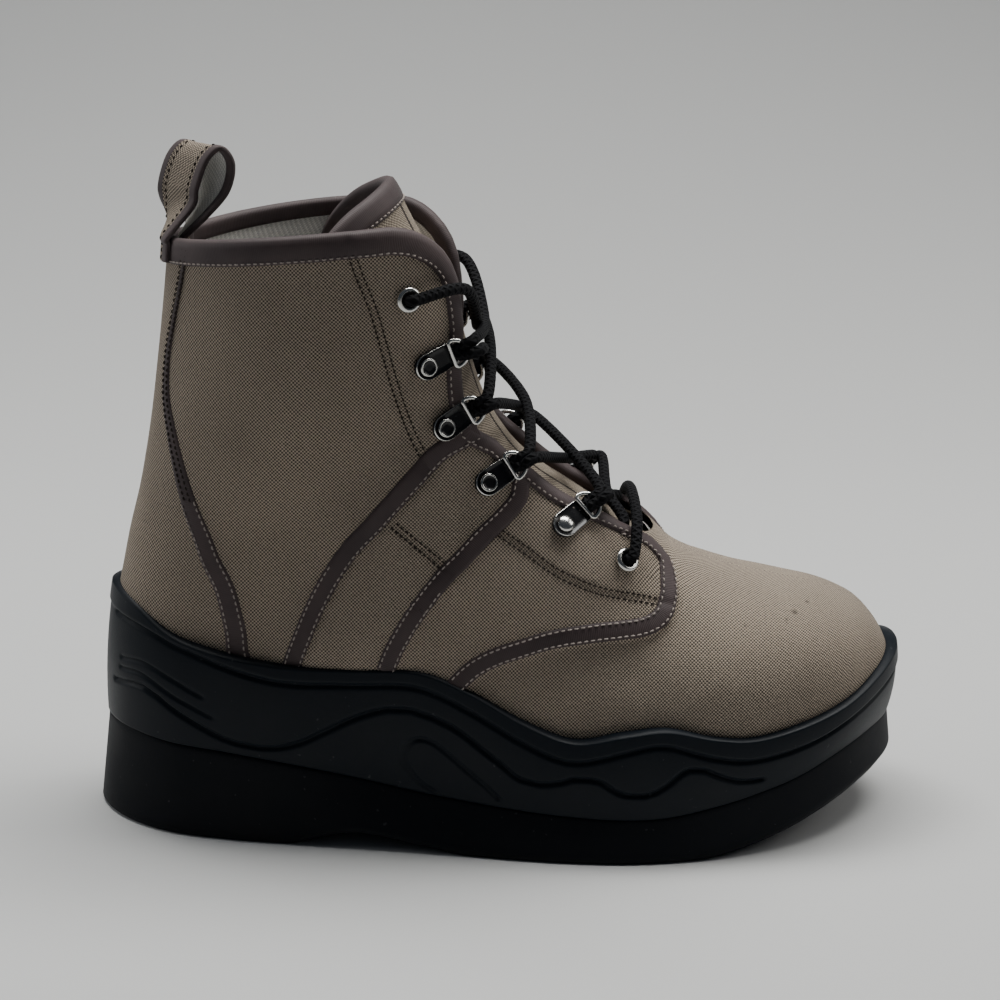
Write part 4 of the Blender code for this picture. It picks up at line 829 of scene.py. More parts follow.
def tape(name, colour, light):
    """Binding tape: fine ribs across it and a soft gloss."""
    mat, tree, shader, node = material(name, colour, 0.6, bump=0.00005, sheen=0.05, gloss=0.3)
    ribs = use(tree, RIBS, UV=coords(tree, "UV"), Pitch=0.0007)
    wear = use(tree, WEAR, Place=coords(tree, "Object"), Patch=40.0, Speck=800.0)
    ridge = calc(tree, "MULTIPLY", ribs["Height"], 0.25)
    tone = calc(tree, "MULTIPLY_ADD", wear["Patches"], 0.6, ridge)
    feed(tree, shader.inputs["Base Color"], blend(tree, tone, colour, light))
    feed(tree, node.inputs["Height"], ribs["Height"])
    return mat


def rubber(name, colour, light, roughness, specks):
    """Moulded rubber or foam skin: uneven gloss, faint scuffs and a few pale specks."""
    mat, tree, shader, node = material(name, colour, roughness, bump=0.00006, gloss=0.15)
    place = coords(tree, "Object")
    wear = use(tree, WEAR, Place=place, Patch=26.0, Speck=420.0)
    tone = blend(tree, calc(tree, "MULTIPLY", wear["Patches"], 0.5), colour, light)
    tone = blend(tree, calc(tree, "MULTIPLY", wear["Specks"], specks), tone, (0.20, 0.20, 0.20))
    feed(tree, shader.inputs["Base Color"], tone)
    feed(tree, shader.inputs["Roughness"],
         spread(tree, wear["Patches"], 0, 1, roughness - 0.06, roughness + 0.10))
    feed(tree, node.inputs["Height"], noise(tree, place, 1500.0, 3.0, 0.7))
    return mat


def braid(name, colour, light):
    """Round braid: two sets of yarns crossing round the cord."""
    mat, tree, shader, node = material(name, colour, 0.75, bump=0.0003, gloss=0.12)
    split = split_uv(tree, coords(tree, "UV"))
    along = calc(tree, "MULTIPLY", split[0], 2 * pi / BRAID_PITCH)
    around = calc(tree, "MULTIPLY", split[1], 2 * pi * BRAID_YARNS)
    one = calc(tree, "SINE", calc(tree, "ADD", along, around))
    two = calc(tree, "SINE", calc(tree, "SUBTRACT", along, around))
    yarn = calc(tree, "MAXIMUM", one, two)
    feed(tree, shader.inputs["Base Color"],
         blend(tree, spread(tree, yarn, 0.2, 1.0), colour, light))
    feed(tree, node.inputs["Height"], yarn)
    return mat


def plain(name, colour, roughness, metallic=0.0):
    """An even finish with slightly uneven gloss."""
    mat, tree, shader, _ = material(name, colour, roughness, metallic, gloss=0.3)
    wear = use(tree, WEAR, Place=coords(tree, "Object"), Patch=90.0, Speck=900.0)
    feed(tree, shader.inputs["Roughness"],
         spread(tree, wear["Patches"], 0, 1, roughness * 0.85, roughness * 1.25))
    return mat


TAUPE = cloth("taupe_cloth", (0.560, 0.465, 0.365), (0.020, 0.015, 0.012), CLOTH_PITCH,
              soil=0.10)
TAN = cloth("tongue_cloth", (0.480, 0.410, 0.320), (0.070, 0.052, 0.040), CLOTH_PITCH)
LINING = cloth("grey_lining", (0.900, 0.880, 0.840), (0.560, 0.550, 0.520), 0.0009)
FOOTBED = cloth("footbed", (0.30, 0.30, 0.30), (0.16, 0.16, 0.16), 0.0011)
MAUVE = tape("mauve_tape", (0.034, 0.023, 0.024), (0.085, 0.060, 0.059))
PALE_THREAD = plain("pale_thread", (0.36, 0.31, 0.28), 0.8)
DARK_THREAD = plain("dark_thread", (0.030, 0.022, 0.018), 0.8)
FOAM = rubber("midsole_skin", (0.0030, 0.0052, 0.0085), (0.0060, 0.0092, 0.0135), 0.45, 0.10)
RUBBER = rubber("outsole_rubber", (0.0012, 0.0022, 0.0042), (0.0030, 0.0045, 0.0070), 0.6, 0.10)
ENAMEL = plain("black_enamel", (0.005, 0.005, 0.006), 0.25)
STEEL = plain("bright_steel", (0.62, 0.61, 0.58), 0.22, 1.0)
LACE = braid("black_braid", (0.0015, 0.0015, 0.0022), (0.0065, 0.0065, 0.0080))


# The upper


def even_rows(count):
    """Places along the sections, evenly spaced along the side of the foot."""
    u = np.linspace(0, LAST, 2001)
    path = 0.5 * (upper_skin(u, 0.8) + upper_skin(u, 1.9))
    s = lengths(path)
    return np.interp(np.linspace(0, s[-1], count), s, u)


def wrap_angles(u, cols):
    """Angles of each row from the outer flap's edge round the back to the inner flap's."""
    t = np.linspace(0, 1, cols // 2)
    out, inn = throat_angle(u, OUTER)[:, None], throat_angle(u, INNER)[:, None]
    return np.concatenate([out + (pi - out) * t, pi + (pi - inn) * t[1:]], 1)


def cloth_uv(points, middle):
    """Lengths along rows, measured from the side's middle line, and along columns."""
    across = np.linalg.norm(np.diff(points, axis=1), axis=2)
    across = np.concatenate([np.zeros((len(points), 1)), np.cumsum(across, 1)], 1)
    across -= across[:, middle:middle + 1]
    down = np.linalg.norm(np.diff(points, axis=0), axis=2)
    down = np.concatenate([np.zeros((1, points.shape[1])), np.cumsum(down, 0)], 0)
    return np.stack([across, down], -1)


def weave_uv(u, a):
    """Cloth coordinates of the grid (u, a): steps along rows, and along one column of each
    side, measured in a frame that runs round the shaft and along the vamp."""
    p, n = upper_skin(u, a), upper_normal(u, a)
    forward = np.array([1.0, 0, 0]) - n * n[..., :1]
    around = np.cross(UP, n)
    turn = np.where(a <= pi, 1.0, -1.0)[..., None]
    share = soft((p[..., :1] / SOLE_LENGTH - 0.30) / 0.22)
    one = unit(around * (1 - share) + forward * share * turn)
    two = np.cross(n, one)

    def measure(axis):
        """Lengths along one axis of the grid, in the frame's two directions."""
        step = np.diff(p, axis=axis)
        lead, tail = ([slice(None)] * 2 for _ in range(2))
        lead[axis], tail[axis] = slice(1, None), slice(None, -1)
        way = [(step * (v[tuple(lead)] + v[tuple(tail)]) / 2).sum(-1) for v in (one, two)]
        start = np.zeros_like(np.take(way[0], [0], axis))
        return np.stack([np.concatenate([start, np.cumsum(w, axis)], axis) for w in way], -1)

    rows, columns = measure(1), measure(0)
    cols = a.shape[1]
    uv = np.empty_like(rows)
    for part, mid in ((slice(0, cols // 2), cols // 4), (slice(cols // 2, cols), 3 * cols // 4)):
        uv[:, part] = rows[:, part] - rows[:, mid:mid + 1] + columns[:, mid:mid + 1]
    return uv


def quads_above(quads, points, floor):
    """The quads that reach above a floor given per point."""
    low = points.reshape(-1, 3)[:, 2] < floor
    return quads[~low[quads].all(1)]


def make_upper():
    """The outer cloth with its laid-on panels, closed at the toe and dropped under the bed."""
    u = even_rows(290)
    a = wrap_angles(u, 280)
    grid = skin_at(u[:, None], a)
    uv = weave_uv(u[:, None] + 0 * a, a)
    tip = np.broadcast_to(grid[-1].mean(0), grid[-1:].shape)
    grid = np.concatenate([grid, tip])
    uv = np.concatenate([uv, uv[-1:]])
    flat = grid.reshape(-1, 3)
    floor = rim_height(flat[:, 0], flat[:, 1]) - CLOTH_TUCK
    quads = quads_above(grid_quads(*grid.shape[:2]), grid, floor)
    away = np.concatenate([upper_normal(u[:, None], a).reshape(-1, 3),
                           np.tile([1.0, 0, 0], (grid.shape[1], 1))])
    obj = piece("upper_cloth", grid, [TAUPE], away, quads, uv)
    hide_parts("upper", "quarter_outer", "quarter_inner", "strap_outer", "strap_inner")


def make_lining():
    """The inner face of the wall, from the collar down to the bed."""
    u = even_rows(120)
    a = wrap_angles(u, 100)
    grid = over_skin(u[:, None], a, -WALL)
    floor = bed_height(grid[..., 0].ravel()) - LINING_TUCK
    quads = quads_above(grid_quads(*a.shape), grid, floor)
    piece("lining", grid, [LINING], -upper_normal(u[:, None], a), quads,
          cloth_uv(grid, a.shape[1] // 4))


def laid_tape(name, path, widths, height=TAPE_HEIGHT):
    """Tape laid on the upper along a path of (u, a): lift over the width follows
    height * (1 - t ** 8), its edges tucked into the cloth."""
    u, a = path
    t = np.array([-1.0, -0.97, -0.86, -0.55, 0.0, 0.55, 0.86, 0.97, 1.0])
    reach = t[None, :] * np.broadcast_to(widths, u.shape)[:, None] / 2
    step = across_path(u, a)[:, None] * reach[..., None]
    u, a = slide(*np.broadcast_arrays(u[:, None], a[:, None] + 0 * t), step)
    lift = np.where(np.abs(t) == 1, -0.0004, height * (1 - np.abs(t) ** 8))
    uv = pair(lengths(upper_skin(*path))[:, None], reach)
    return piece(name, skin_at(u, a, lift[None, :]), [MAUVE],
                 upper_normal(u, a), uv=uv)


def rim_height(x, y):
    """Height of the midsole's rim beside a place."""
    outer = rim_at(np.linspace(0, TOE_ROW, 200))[2]
    inner = rim_at(np.linspace(RIM_ROWS, TOE_ROW, 200))[2]
    return np.where(y < 0, np.interp(x, outer[:, 0], outer[:, 2]),
                    np.interp(x, inner[:, 0], inner[:, 2]))


def smooth_path(u, a, knots, count):
    """A path over the upper drawn again as a smooth curve through a few even knots."""
    s = lengths(upper_skin(u, a))
    knot = np.linspace(0, s[-1], knots)
    return tuple(even(np.stack([np.interp(knot, s, u), np.interp(knot, s, a)], 1), count).T)


def flap_front(side, low):
    """The front of a flap: its edge beside the throat, on round its end and into low, the
    side-view line of its lower edge."""
    rows, halves = np.array(FLAP).T
    u = np.linspace(*FLAP_FRONT, 60)
    row = spline(SECTION_ROWS, u)
    wide = row[:, 4] if side == OUTER else row[:, 5]
    half = np.interp(u, rows, halves) * BALL_WIDTH + EDGE_TAPE / 2
    a = np.arcsin(np.clip((half - side * row[:, 6]) / wide, 0, 1) ** (row[:, 8] / 2)) * -side
    v, b = path_on_side(low, side, 200, -TAPE_WIDTH / 2)
    return smooth_path(np.concatenate([u, v]), np.concatenate([a, b]), 40, QUARTER_STATIONS)


def path_on_side(table, side, count, inset=0.0):
    """A side-view line as (u, a), moved over the surface by inset to its left."""
    u, a = place_from_side(even(side_points(table), count), side)
    p = upper_skin(u, a)
    keep = np.abs(a) > throat_angle(u, side) + 0.02
    keep &= p[:, 2] > rim_height(p[:, 0], p[:, 1]) - 0.002
    u, a = u[keep], a[keep]
    if inset:
        u, a = slide(u, a, across_path(u, a) * inset * -side)
    return u, a


def stitches(name, lines, mat, pitch=STITCH_PITCH, thread=THREAD):
    """Running stitches along lines given as points and outward normals: each is a bent
    five-sided thread whose two ends dip under the surface."""
    q = np.linspace(-0.5, 0.5, 5)
    rise = thread * (0.9 - 4.2 * (np.abs(2 * q) ** 3) * 0.5)
    ring = np.linspace(0, 2 * pi, 5, endpoint=False)
    blocks = []
    for points, normals in lines:
        s = lengths(points)
        centre = np.arange(pitch * 0.6, s[-1] - pitch * 0.4, pitch)
        at = centre[:, None] + q[None, :] * STITCH_LENGTH
        pos, out = (np.stack([np.interp(at, s, rows[:, k]) for k in range(3)], -1)
                    for rows in (points, normals))
        out = unit(out)
        ahead = unit(np.gradient(pos, axis=1))
        side = np.cross(ahead, out)
        pos = pos + out * rise[None, :, None]
        wide = thread * np.array([0.6, 1.0, 1.0, 1.0, 0.6])[None, :, None, None]
        rings = pos[:, :, None] + wide * (np.cos(ring)[:, None] * side[:, :, None]
                                          + np.sin(ring)[:, None] * out[:, :, None])
        blocks.append(rings.reshape(-1, 25, 3))
    points = np.concatenate(blocks)
    base = grid_quads(5, 5, round_cols=True)
    quads = (base[None] + 25 * np.arange(len(points))[:, None, None]).reshape(-1, 4)
    piece(name, points, [mat], points - points.mean(1, keepdims=True), quads)


def seam_line(path, inset, lift):
    """Points and normals of a line beside a path of (u, a)."""
    u, a = slide(*path, across_path(*path) * inset)
    return skin_at(u, a, lift), upper_normal(u, a)


def edge_path(side, count):
    """The collar's edge from the back and on down the flap, as (u, a)."""
    start = float(throat_angle(np.array([0.0]), side)[0])
    collar = np.stack([np.zeros(60), np.linspace(pi, start, 60) * -side], 1)
    u = np.concatenate([np.linspace(0, 1, 40)[1:] ** 1.5, np.linspace(1, EDGE_TAPE_END, 150)[1:]])
    flap = np.stack([u, throat_angle(u, side) * -side], 1)
    path = np.concatenate([collar, flap])
    s = lengths(upper_skin(path[:, 0], path[:, 1]))
    want = np.linspace(0, s[-1], count)
    return tuple(np.interp(want, s, path[:, k]) for k in range(2))


def make_edge_tape(side, word):
    """Tape folded over the collar's and the flap's edge: down the outer face, round the edge
    and down the inner face, with a row of stitches."""
    u, a = edge_path(side, 260)
    mid = upper_skin(u, a)
    n = upper_normal(u, a)
    inwards = across_path(u, a) * side
    width = np.interp(u, (0, 0.5, 2.0, 4.2, 4.8, 9.9),
                      (COLLAR_TAPE, 0.0066, 0.0052, 0.0050, 0.0048, 0.0046))
    rows = []
    for share, lift in ((1.0, -0.0003), (0.97, 0.0006), (0.85, 0.0010), (0.5, 0.0012),
                        (0.12, 0.0012)):
        rows.append(skin_at(*slide(u, a, inwards * (width * share)[:, None]), lift))
    half = WALL / 2 + 0.0011
    centre = mid - n * (WALL / 2)
    for angle in (60, 25, -10, -45, -75):
        way = n * sin(radians(angle)) - inwards * cos(radians(angle))
        rows.append(centre + way * half + n * relief(u, a)[:, None] * max(angle, 0) / 90)
    for share, lift in ((0.10, 0.0009), (0.38, 0.0009), (0.60, 0.0006), (0.62, -0.0002)):
        place = slide(u, a, inwards * (width * share)[:, None])
        rows.append(over_skin(*place, -WALL - lift))
    grid = np.stack(rows, 1)
    obj = piece("edge_tape_" + word, grid, [MAUVE],
                grid - (centre + inwards * 0.002)[:, None],
                uv=pair(lengths(mid)[:, None], np.arange(len(rows)) * FOLD_STEP))
    place = slide(u, a, inwards * (width - STITCH_INSET)[:, None])
    return obj, (skin_at(*place, 0.0010), upper_normal(*place))


def make_sewing():
    """Tapes, seams and stitches of both sides."""
    pale, dark, edges = [], [], []
    half = TAPE_WIDTH / 2
    inset = half - STITCH_INSET
    flap_width = np.interp(np.linspace(0, 1, QUARTER_STATIONS), (0, 0.12, 0.30),
                           (EDGE_TAPE, 0.0060, TAPE_WIDTH))
    for side, word in SIDES:
        obj, line = make_edge_tape(side, word)
        edges.append(obj)
        pale.append(line)
        strap_top, strap_low = (path_on_side(table, side, STRAP_STATIONS, -half)
                                for table in (STRAP_TOP, STRAP_LOW))
        quarter = flap_front(side, QUARTER_LOW[5:])
        counter = smooth_path(*path_on_side(COUNTER, side, COUNTER_STATIONS), 12,
                              COUNTER_STATIONS)
        laid_tape("strap_top_tape_" + word, strap_top, TAPE_WIDTH)
        laid_tape("strap_low_tape_" + word, strap_low, TAPE_WIDTH)
        laid_tape("quarter_tape_" + word, quarter, flap_width)
        wide = np.interp(upper_skin(*counter)[:, 2], (0.07, 0.12, 0.17, 0.20, 0.24),
                         (0.0092, 0.0080, 0.0052, 0.0024, 0.0020))
        band = laid_tape("counter_tape_" + word, counter, wide, COUNTER_HEIGHT)
        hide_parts("counter_band_" + word)
        for path, first, turn in ((strap_top, 0, 1), (strap_low, 0, -1), (quarter, 0, -1),
                                  (quarter, QUARTER_SECOND, 1),
                                  (strap_top, STRAP_TOP_SECOND, -1),
                                  (strap_low, STRAP_LOW_SECOND, 1)):
            part = tuple(v[first:] for v in path)
            pale.append(seam_line(part, inset * turn * -side, TAPE_HEIGHT))
        for turn in (-1, 1):
            low = tuple(v[COUNTER_SECOND:] for v in counter)
            high = tuple(v[:COUNTER_SECOND + 2] for v in counter)
            pale.append(seam_line(low, turn * COUNTER_WIDE, COUNTER_HEIGHT))
            dark.append(seam_line(high, turn * COUNTER_NARROW, COUNTER_HEIGHT))
        for table in (EYESTAY, CROSS_SEAM, QUARTER_SEAM):
            seam = path_on_side(table, side, 120)
            dark += [seam_line(seam, turn * SEAM_HALF, THREAD_LIFT) for turn in (1, -1)]
        dark.append(seam_line(path_on_side(STRAP_TACK, side, 60), 0.0, THREAD_LIFT))
    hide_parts("collar_binding")
    stitches("pale_stitches", pale, PALE_THREAD)
    stitches("dark_stitches", dark, DARK_THREAD, DARK_PITCH, DARK_THREAD_SIZE)


# The sole


def rim_at(t):
    """The sole's edge at t, closed round the heel and the toe: tread, joint and rim edges
    and inward direction."""
    rows = np.array(RIM_OUTER + RIM_INNER[-2:0:-1])
    rows = np.concatenate([rows[-2:], rows, rows[:3]])
    ahead, here, behind = (spline(rows, t + 2 + step) for step in (0.02, 0.0, -0.02))
    x, y, spring, arch, joint, joint_in, rim, rim_in = here.T
    way = (ahead - behind)[:, :2] * (SOLE_LENGTH, BALL_WIDTH)
    inward = unit(np.stack([-way[:, 1], way[:, 0]], 1))
    flat = np.stack([x * SOLE_LENGTH, y * BALL_WIDTH], 1)
    lift = np.maximum(spring, 0) * TOE_SPRING + np.maximum(arch, 0) * ARCH_RISE
    joint_z = FOREFOOT_STACK + (HEEL_STACK - FOREFOOT_STACK) * joint
    rim_z = SEAT_HEIGHT + RIM_RISE * rim

    def edge(inset, z):
        """The edge set in by inset at the heights z."""
        return np.column_stack([flat + inward * np.asarray(inset)[:, None], z])

    tread = edge(np.zeros(len(x)), lift)
    joint = edge(joint_in * BALL_WIDTH, joint_z)
    return tread, joint, edge(rim_in * BALL_WIDTH, rim_z), inward


def gap_to_upper(points):
    """Distance from each point to the upper's surface."""
    u, a = np.meshgrid(np.linspace(0, LAST, 320), np.linspace(0, 2 * pi, 220), indexing="ij")
    skin = upper_skin(u, a).reshape(-1, 3)
    square = (skin ** 2).sum(1)
    return np.concatenate([
        np.sqrt(np.maximum((part ** 2).sum(1)[:, None] + square - 2 * part @ skin.T, 0)).min(1)
        for part in np.array_split(points, 12)])


def sideways(inward, grid):
    """Outward direction of a sole's side, for each point of its grid."""
    away = np.zeros(grid.shape)
    away[..., :2] = -inward[:, None]
    return away


def make_midsole():
    """Moulded cup side: bulged from joint to rim, a rolled rim, and grooves pressed in by
    depth * exp(-(distance / half width) ** 2)."""
    tread, joint, rim, inward = rim_at(ROUND_SOLE)
    near = rim_at(np.linspace(0, TOE_ROW, 200))
    tall = (rim - joint)[:, 2]
    share = np.linspace(0, 1, 72)
    grid = joint[:, None] + (rim - joint)[:, None] * share[None, :, None]
    flat = pair(tread[:, 0, None], share[None, :] * tall[:, None]).reshape(-1, 2)
    swell = LIP + SIDE_BULGE * 4 * share * (1 - share) + 0 * tall[:, None]

    def groove(table, depth, half):
        """Depth of one groove at each point of the side."""
        rows = even(np.array(table), 80)
        x = rows[:, 0] * SOLE_LENGTH
        up = rows[:, 1] * np.interp(x, near[0][:, 0], (near[2] - near[1])[:, 2])
        gap = distance_to(flat, np.stack([x, up], 1)).reshape(swell.shape)
        return depth * np.exp(-(gap / half) ** 2)

    cuts = ((WAVE, WAVE_CUT), (DROP, DROP_CUT), *((line, HEEL_CUT) for line in HEEL_LINES),
            (RIM_GROOVE, RIM_CUT))
    for table, cut in cuts:
        swell -= groove(table, *cut)
    rows = np.array(RIM_GROOVE)
    line = np.interp(tread[:, 0] / SOLE_LENGTH, rows[:, 0], rows[:, 1])
    swell += RIM_SWELL * soft((share[None, :] - line[:, None]) * tall[:, None] / 0.002)
    swell *= soft((1.02 - share) * tall[:, None] / 0.0014 + 0.35)
    grid[..., :2] -= inward[:, None] * swell[..., None]
    gap = gap_to_upper(rim)
    shelf = []
    for way, drop in ((0.35, 0.0004), (0.8, 0.0002), (1.0, -0.0006)):
        edge = rim.copy()
        edge[:, :2] += inward * ((gap + 0.0012) * way)[:, None]
        edge[:, 2] += drop
        shelf.append(edge)
    low = joint.copy()
    low[:, :2] += inward * MIDSOLE_UNDER
    grid = np.concatenate([low[:, None], grid, np.stack(shelf, 1)], 1)
    obj = piece("midsole_cup", grid, [FOAM], sideways(inward, grid),
                grid_quads(*grid.shape[:2], round_rows=True))
    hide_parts("midsole")


def tread_edge(tread, inward, share):
    """The tread's edge, rounded under most at the toe: share 0 is on the floor, 1 the side."""
    curl = np.clip(tread[:, 0] / SOLE_LENGTH - 0.75, 0, 0.2) / 0.2
    edge_round = EDGE_ROUND + TOE_ROUND * curl
    edge = tread.copy()
    edge[:, 2] += edge_round * share
    edge[:, :2] += inward * (edge_round * (1 - share) ** 1.5)[:, None]
    return edge


def make_outsole():
    """Rubber unit: rounded tread edge, side drawn in to the midsole, and bars across its tread,
    z = groove depth where the distance along the pitch is less than the groove's width."""
    tread, joint, _, inward = rim_at(ROUND_SOLE)
    edges = [tread_edge(tread, inward, share) for share in (0.0, 0.12, 0.3, 0.6, 1.0)]
    top = joint - UP * CLEARANCE
    for share in np.linspace(0.08, 0.94, 14):
        edges.append(edges[4] + (top - edges[4]) * share)
    lip = top.copy()
    lip[:, :2] += inward * 0.0003
    inside = top.copy()
    inside[:, :2] += inward * OUTSOLE_TOP
    grid = np.stack(edges + [lip, inside], 1)
    obj = piece("outsole_side", grid, [RUBBER], sideways(inward, grid),
                grid_quads(*grid.shape[:2], round_rows=True))
    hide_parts("outsole")
    outer, inner = (tread_edge(*(rim_at(t)[k] for k in (0, 3)), 0.0)
                    for t in (np.linspace(0, TOE_ROW, 420), np.linspace(RIM_ROWS, TOE_ROW, 420)))
    t = soft(np.linspace(0, 1, 70))
    floor = outer[:, None] + (inner - outer)[:, None] * t[None, :, None]
    across = np.linalg.norm(inner - outer, axis=1)[:, None]
    inside_edge = np.minimum(t, 1 - t)[None, :] * across
    bars = np.zeros(floor.shape[:2])
    for start, end in TREAD_ZONES:
        first, last = start * SOLE_LENGTH, end * SOLE_LENGTH
        phase = np.mod(floor[..., 0] - first, TREAD_PITCH)
        groove = soft(phase / TREAD_BLEND) * soft((TREAD_GROOVE - phase) / TREAD_BLEND)
        zone = (floor[..., 0] > first) & (floor[..., 0] < last + TREAD_GROOVE)
        bars = np.maximum(bars, groove * zone * soft((inside_edge - TREAD_MARGIN) / 0.001))
    floor[..., 2] += TREAD_DEPTH * bars
    piece("outsole_tread", floor, [RUBBER], -UP)


def make_insole():
    """Footbed over the whole inside: bed height plus a raised edge."""
    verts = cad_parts["insole"].data.vertices
    co = np.empty(len(verts) * 3)
    verts.foreach_get("co", co)
    co = co.reshape(-1, 3) - ORIGIN
    x = np.linspace(co[:, 0].min() + 0.0005, co[:, 0].max() - 0.0005, 90)
    stations = np.linspace(co[:, 0].min(), co[:, 0].max(), 18)
    near = np.abs(co[:, 0, None] - stations) < 0.012
    low = np.where(near, co[:, 1, None], 1).min(0) + 0.0004
    high = np.where(near, co[:, 1, None], -1).max(0) - 0.0004
    taper = np.sqrt(np.clip(1 - (np.abs(2 * (x - x[0]) / (x[-1] - x[0]) - 1)) ** 9, 0, 1))
    lo, hi = np.interp(x, stations, low), np.interp(x, stations, high)
    mid, half = (lo + hi) / 2, (hi - lo) / 2 * taper
    t = np.linspace(-1, 1, 34)
    y = mid[:, None] + half[:, None] * t
    z = bed_height(x)[:, None] + CLEARANCE + INSOLE_THICKNESS + 0.0015 * np.abs(t) ** 4
    grid = np.stack([x[:, None] + 0 * y, y, z], -1)
    obj = piece("footbed", grid, [FOOTBED], UP, uv=grid[..., :2])
    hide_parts("insole")


# The tongue


def tongue_rows(count, points):
    """The tongue's outer face, row by row: each an arc of TONGUE_BEND to both sides, its last
    rows drawn down at the corners."""
    t = np.linspace(-1, 1, points)[None, :]
    corner = np.clip((np.abs(t) - 0.55) / 0.45, 0, 1)
    top = len(TONGUE) - 1 - TONGUE_CORNER * (1 - np.sqrt(1 - corner ** 2))
    rows = spline(np.array(TONGUE), np.linspace(0, 1, count)[:, None] * top)
    x, level, half, depth, lean = np.moveaxis(rows, -1, 0)
    across = np.sin(t * TONGUE_BEND) / sin(TONGUE_BEND) * half * BALL_WIDTH
    behind = (1 - np.cos(t * TONGUE_BEND)) / (1 - cos(TONGUE_BEND)) * depth * BALL_WIDTH
    lean = np.radians(lean)
    return np.stack([x * SOLE_LENGTH - behind * np.cos(lean), across,
                     height_of(level) - behind * np.sin(lean)], -1)


def keep_inside(points, depth):
    """Points moved inwards until they lie depth under the last's surface."""
    u, a = np.meshgrid(np.linspace(0, LAST, 240), np.linspace(0, 2 * pi, 160), indexing="ij")
    skin = upper_skin(u, a).reshape(-1, 3)
    out = upper_normal(u, a).reshape(-1, 3)
    square = (skin ** 2).sum(1)
    flat = points.reshape(-1, 3)
    near = np.concatenate([(square - 2 * part @ skin.T).argmin(1)
                           for part in np.array_split(flat, 12)])
    above = ((flat - skin[near]) * out[near]).sum(1) + depth
    below_top = flat[:, 2] < skin[near][:, 2] + 0.004
    move = out[near] * np.where(below_top, np.maximum(above, 0), 0)[:, None]
    return (flat - move).reshape(points.shape)


def make_tongue():
    """Padded tongue: two faces TONGUE_THICKNESS apart with round edges, a bound top edge and
    a dark seam down each side of its middle."""
    points, mid, stripe, first = 61, 30, 5, 8
    grid = tongue_rows(150, points)
    out = unit(np.cross(np.gradient(grid, axis=1), np.gradient(grid, axis=0)))
    out *= np.sign(out[75, mid, 0])
    front = keep_inside(grid, WALL + 0.0006)
    taper = 1 - np.abs(np.linspace(-1, 1, points)) ** 6 * 0.8
    back = front - out * (TONGUE_THICKNESS * taper)[None, :, None]
    ring = np.concatenate([front, back[:, ::-1]], 1)
    quads = grid_quads(*ring.shape[:2], round_cols=True)
    row, col = np.divmod(quads[:, 0], ring.shape[1])
    from_middle = np.where(row > first, np.abs(col - mid), points)
    index = np.where(from_middle == stripe, 2, 0)
    index[col > points] = 1
    obj = piece("tongue_cloth", ring, [TAN, LINING, DARK_THREAD],
                np.concatenate([out, -out[:, ::-1]], 1), quads, cloth_uv(ring, mid), index)
    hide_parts("tongue")
    make_tongue_tape(front[-1], back[-1], out[-1], mid)


def make_tongue_tape(front, back, n, mid):
    """Tape folded over the tongue's top edge, and its row of stitches."""
    middle = (front + back) / 2
    up = unit(np.cross(np.gradient(middle, axis=0), n))
    up *= np.sign(up[mid, 2])
    half = TONGUE_THICKNESS / 2 + 0.0007
    folds = ((0.0075, -0.0003), (0.0072, 0.0006), (0.004, 0.0009), (0.0005, 0.0007))
    rows = [front - up * down + n * lift for down, lift in folds]
    rows += [middle + (n * sin(radians(angle)) + up * cos(radians(angle))) * half
             for angle in (60, 20, -20, -60)]
    rows += [back - up * down - n * lift for down, lift in folds[::-1]]
    band = np.stack(rows, 1)
    piece("tongue_tape", band, [MAUVE], band - (middle - up * 0.003)[:, None],
          uv=pair(lengths(middle)[:, None], np.arange(len(rows)) * FOLD_STEP))
    stitches("tongue_stitches", [(front - up * 0.0064 + n * 0.0007, n)], PALE_THREAD)


# Hardware and lace


def seat(x, level, to_x, to_level, side, reach, half):
    """A frame on the upper: origin at the first place, X towards the second, Z outwards,
    raised to clear the panels over a footprint of reach by half."""
    u, a = (float(v[0]) for v in place_from_side(side_points([(x, level)]), side))
    v, b = (float(w[0]) for w in place_from_side(side_points([(to_x, to_level)]), side))
    start, end = upper_skin(u, a), upper_skin(v, b)
    out = upper_normal(u, a) + upper_normal(v, b)
    along = unit(end - start)
    out = unit(out - along * (out @ along))
    across = np.cross(out, along)
    du, da = np.meshgrid(np.linspace(-1.2, 1.2, 25), np.linspace(-0.5, 0.5, 25), indexing="ij")
    near = upper_skin(np.clip(u + du, 0, LAST), a + da) - start
    local = np.stack([near @ along, near @ across, near @ out], -1)
    under = (local[..., 0] > -half) & (local[..., 0] < reach) & (abs(local[..., 1]) < half)
    lift = max(local[..., 2][under].max(), 0.0) + OVERLAY + 2 * CLEARANCE
    return np.array([along, across, out, start + out * lift])


def lacing_frames(side):
    """The frames of the lacing rows on one side, from the bottom."""
    return [seat(*row[1:], side, PLATE_REACH, PLATE_WIDTH / 2) if row[0] == "ring"
            else seat(*row[1:], side, EYELET_RADIUS, EYELET_RADIUS) for row in LACING]


FRAMES = {side: lacing_frames(side) for side in (OUTER, INNER)}


def into(place, points):
    """Points from a lacing row's own frame to the work frame."""
    return place[3] + np.asarray(points) @ place[:3]


def turned(profile, sides):
    """A profile of (radius, height) turned round Z, as a grid of points."""
    r, z = np.array(profile).T
    t = np.linspace(0, 2 * pi, sides, endpoint=False)
    return np.stack([r[:, None] * np.cos(t), r[:, None] * np.sin(t), z[:, None] + 0 * t], -1)


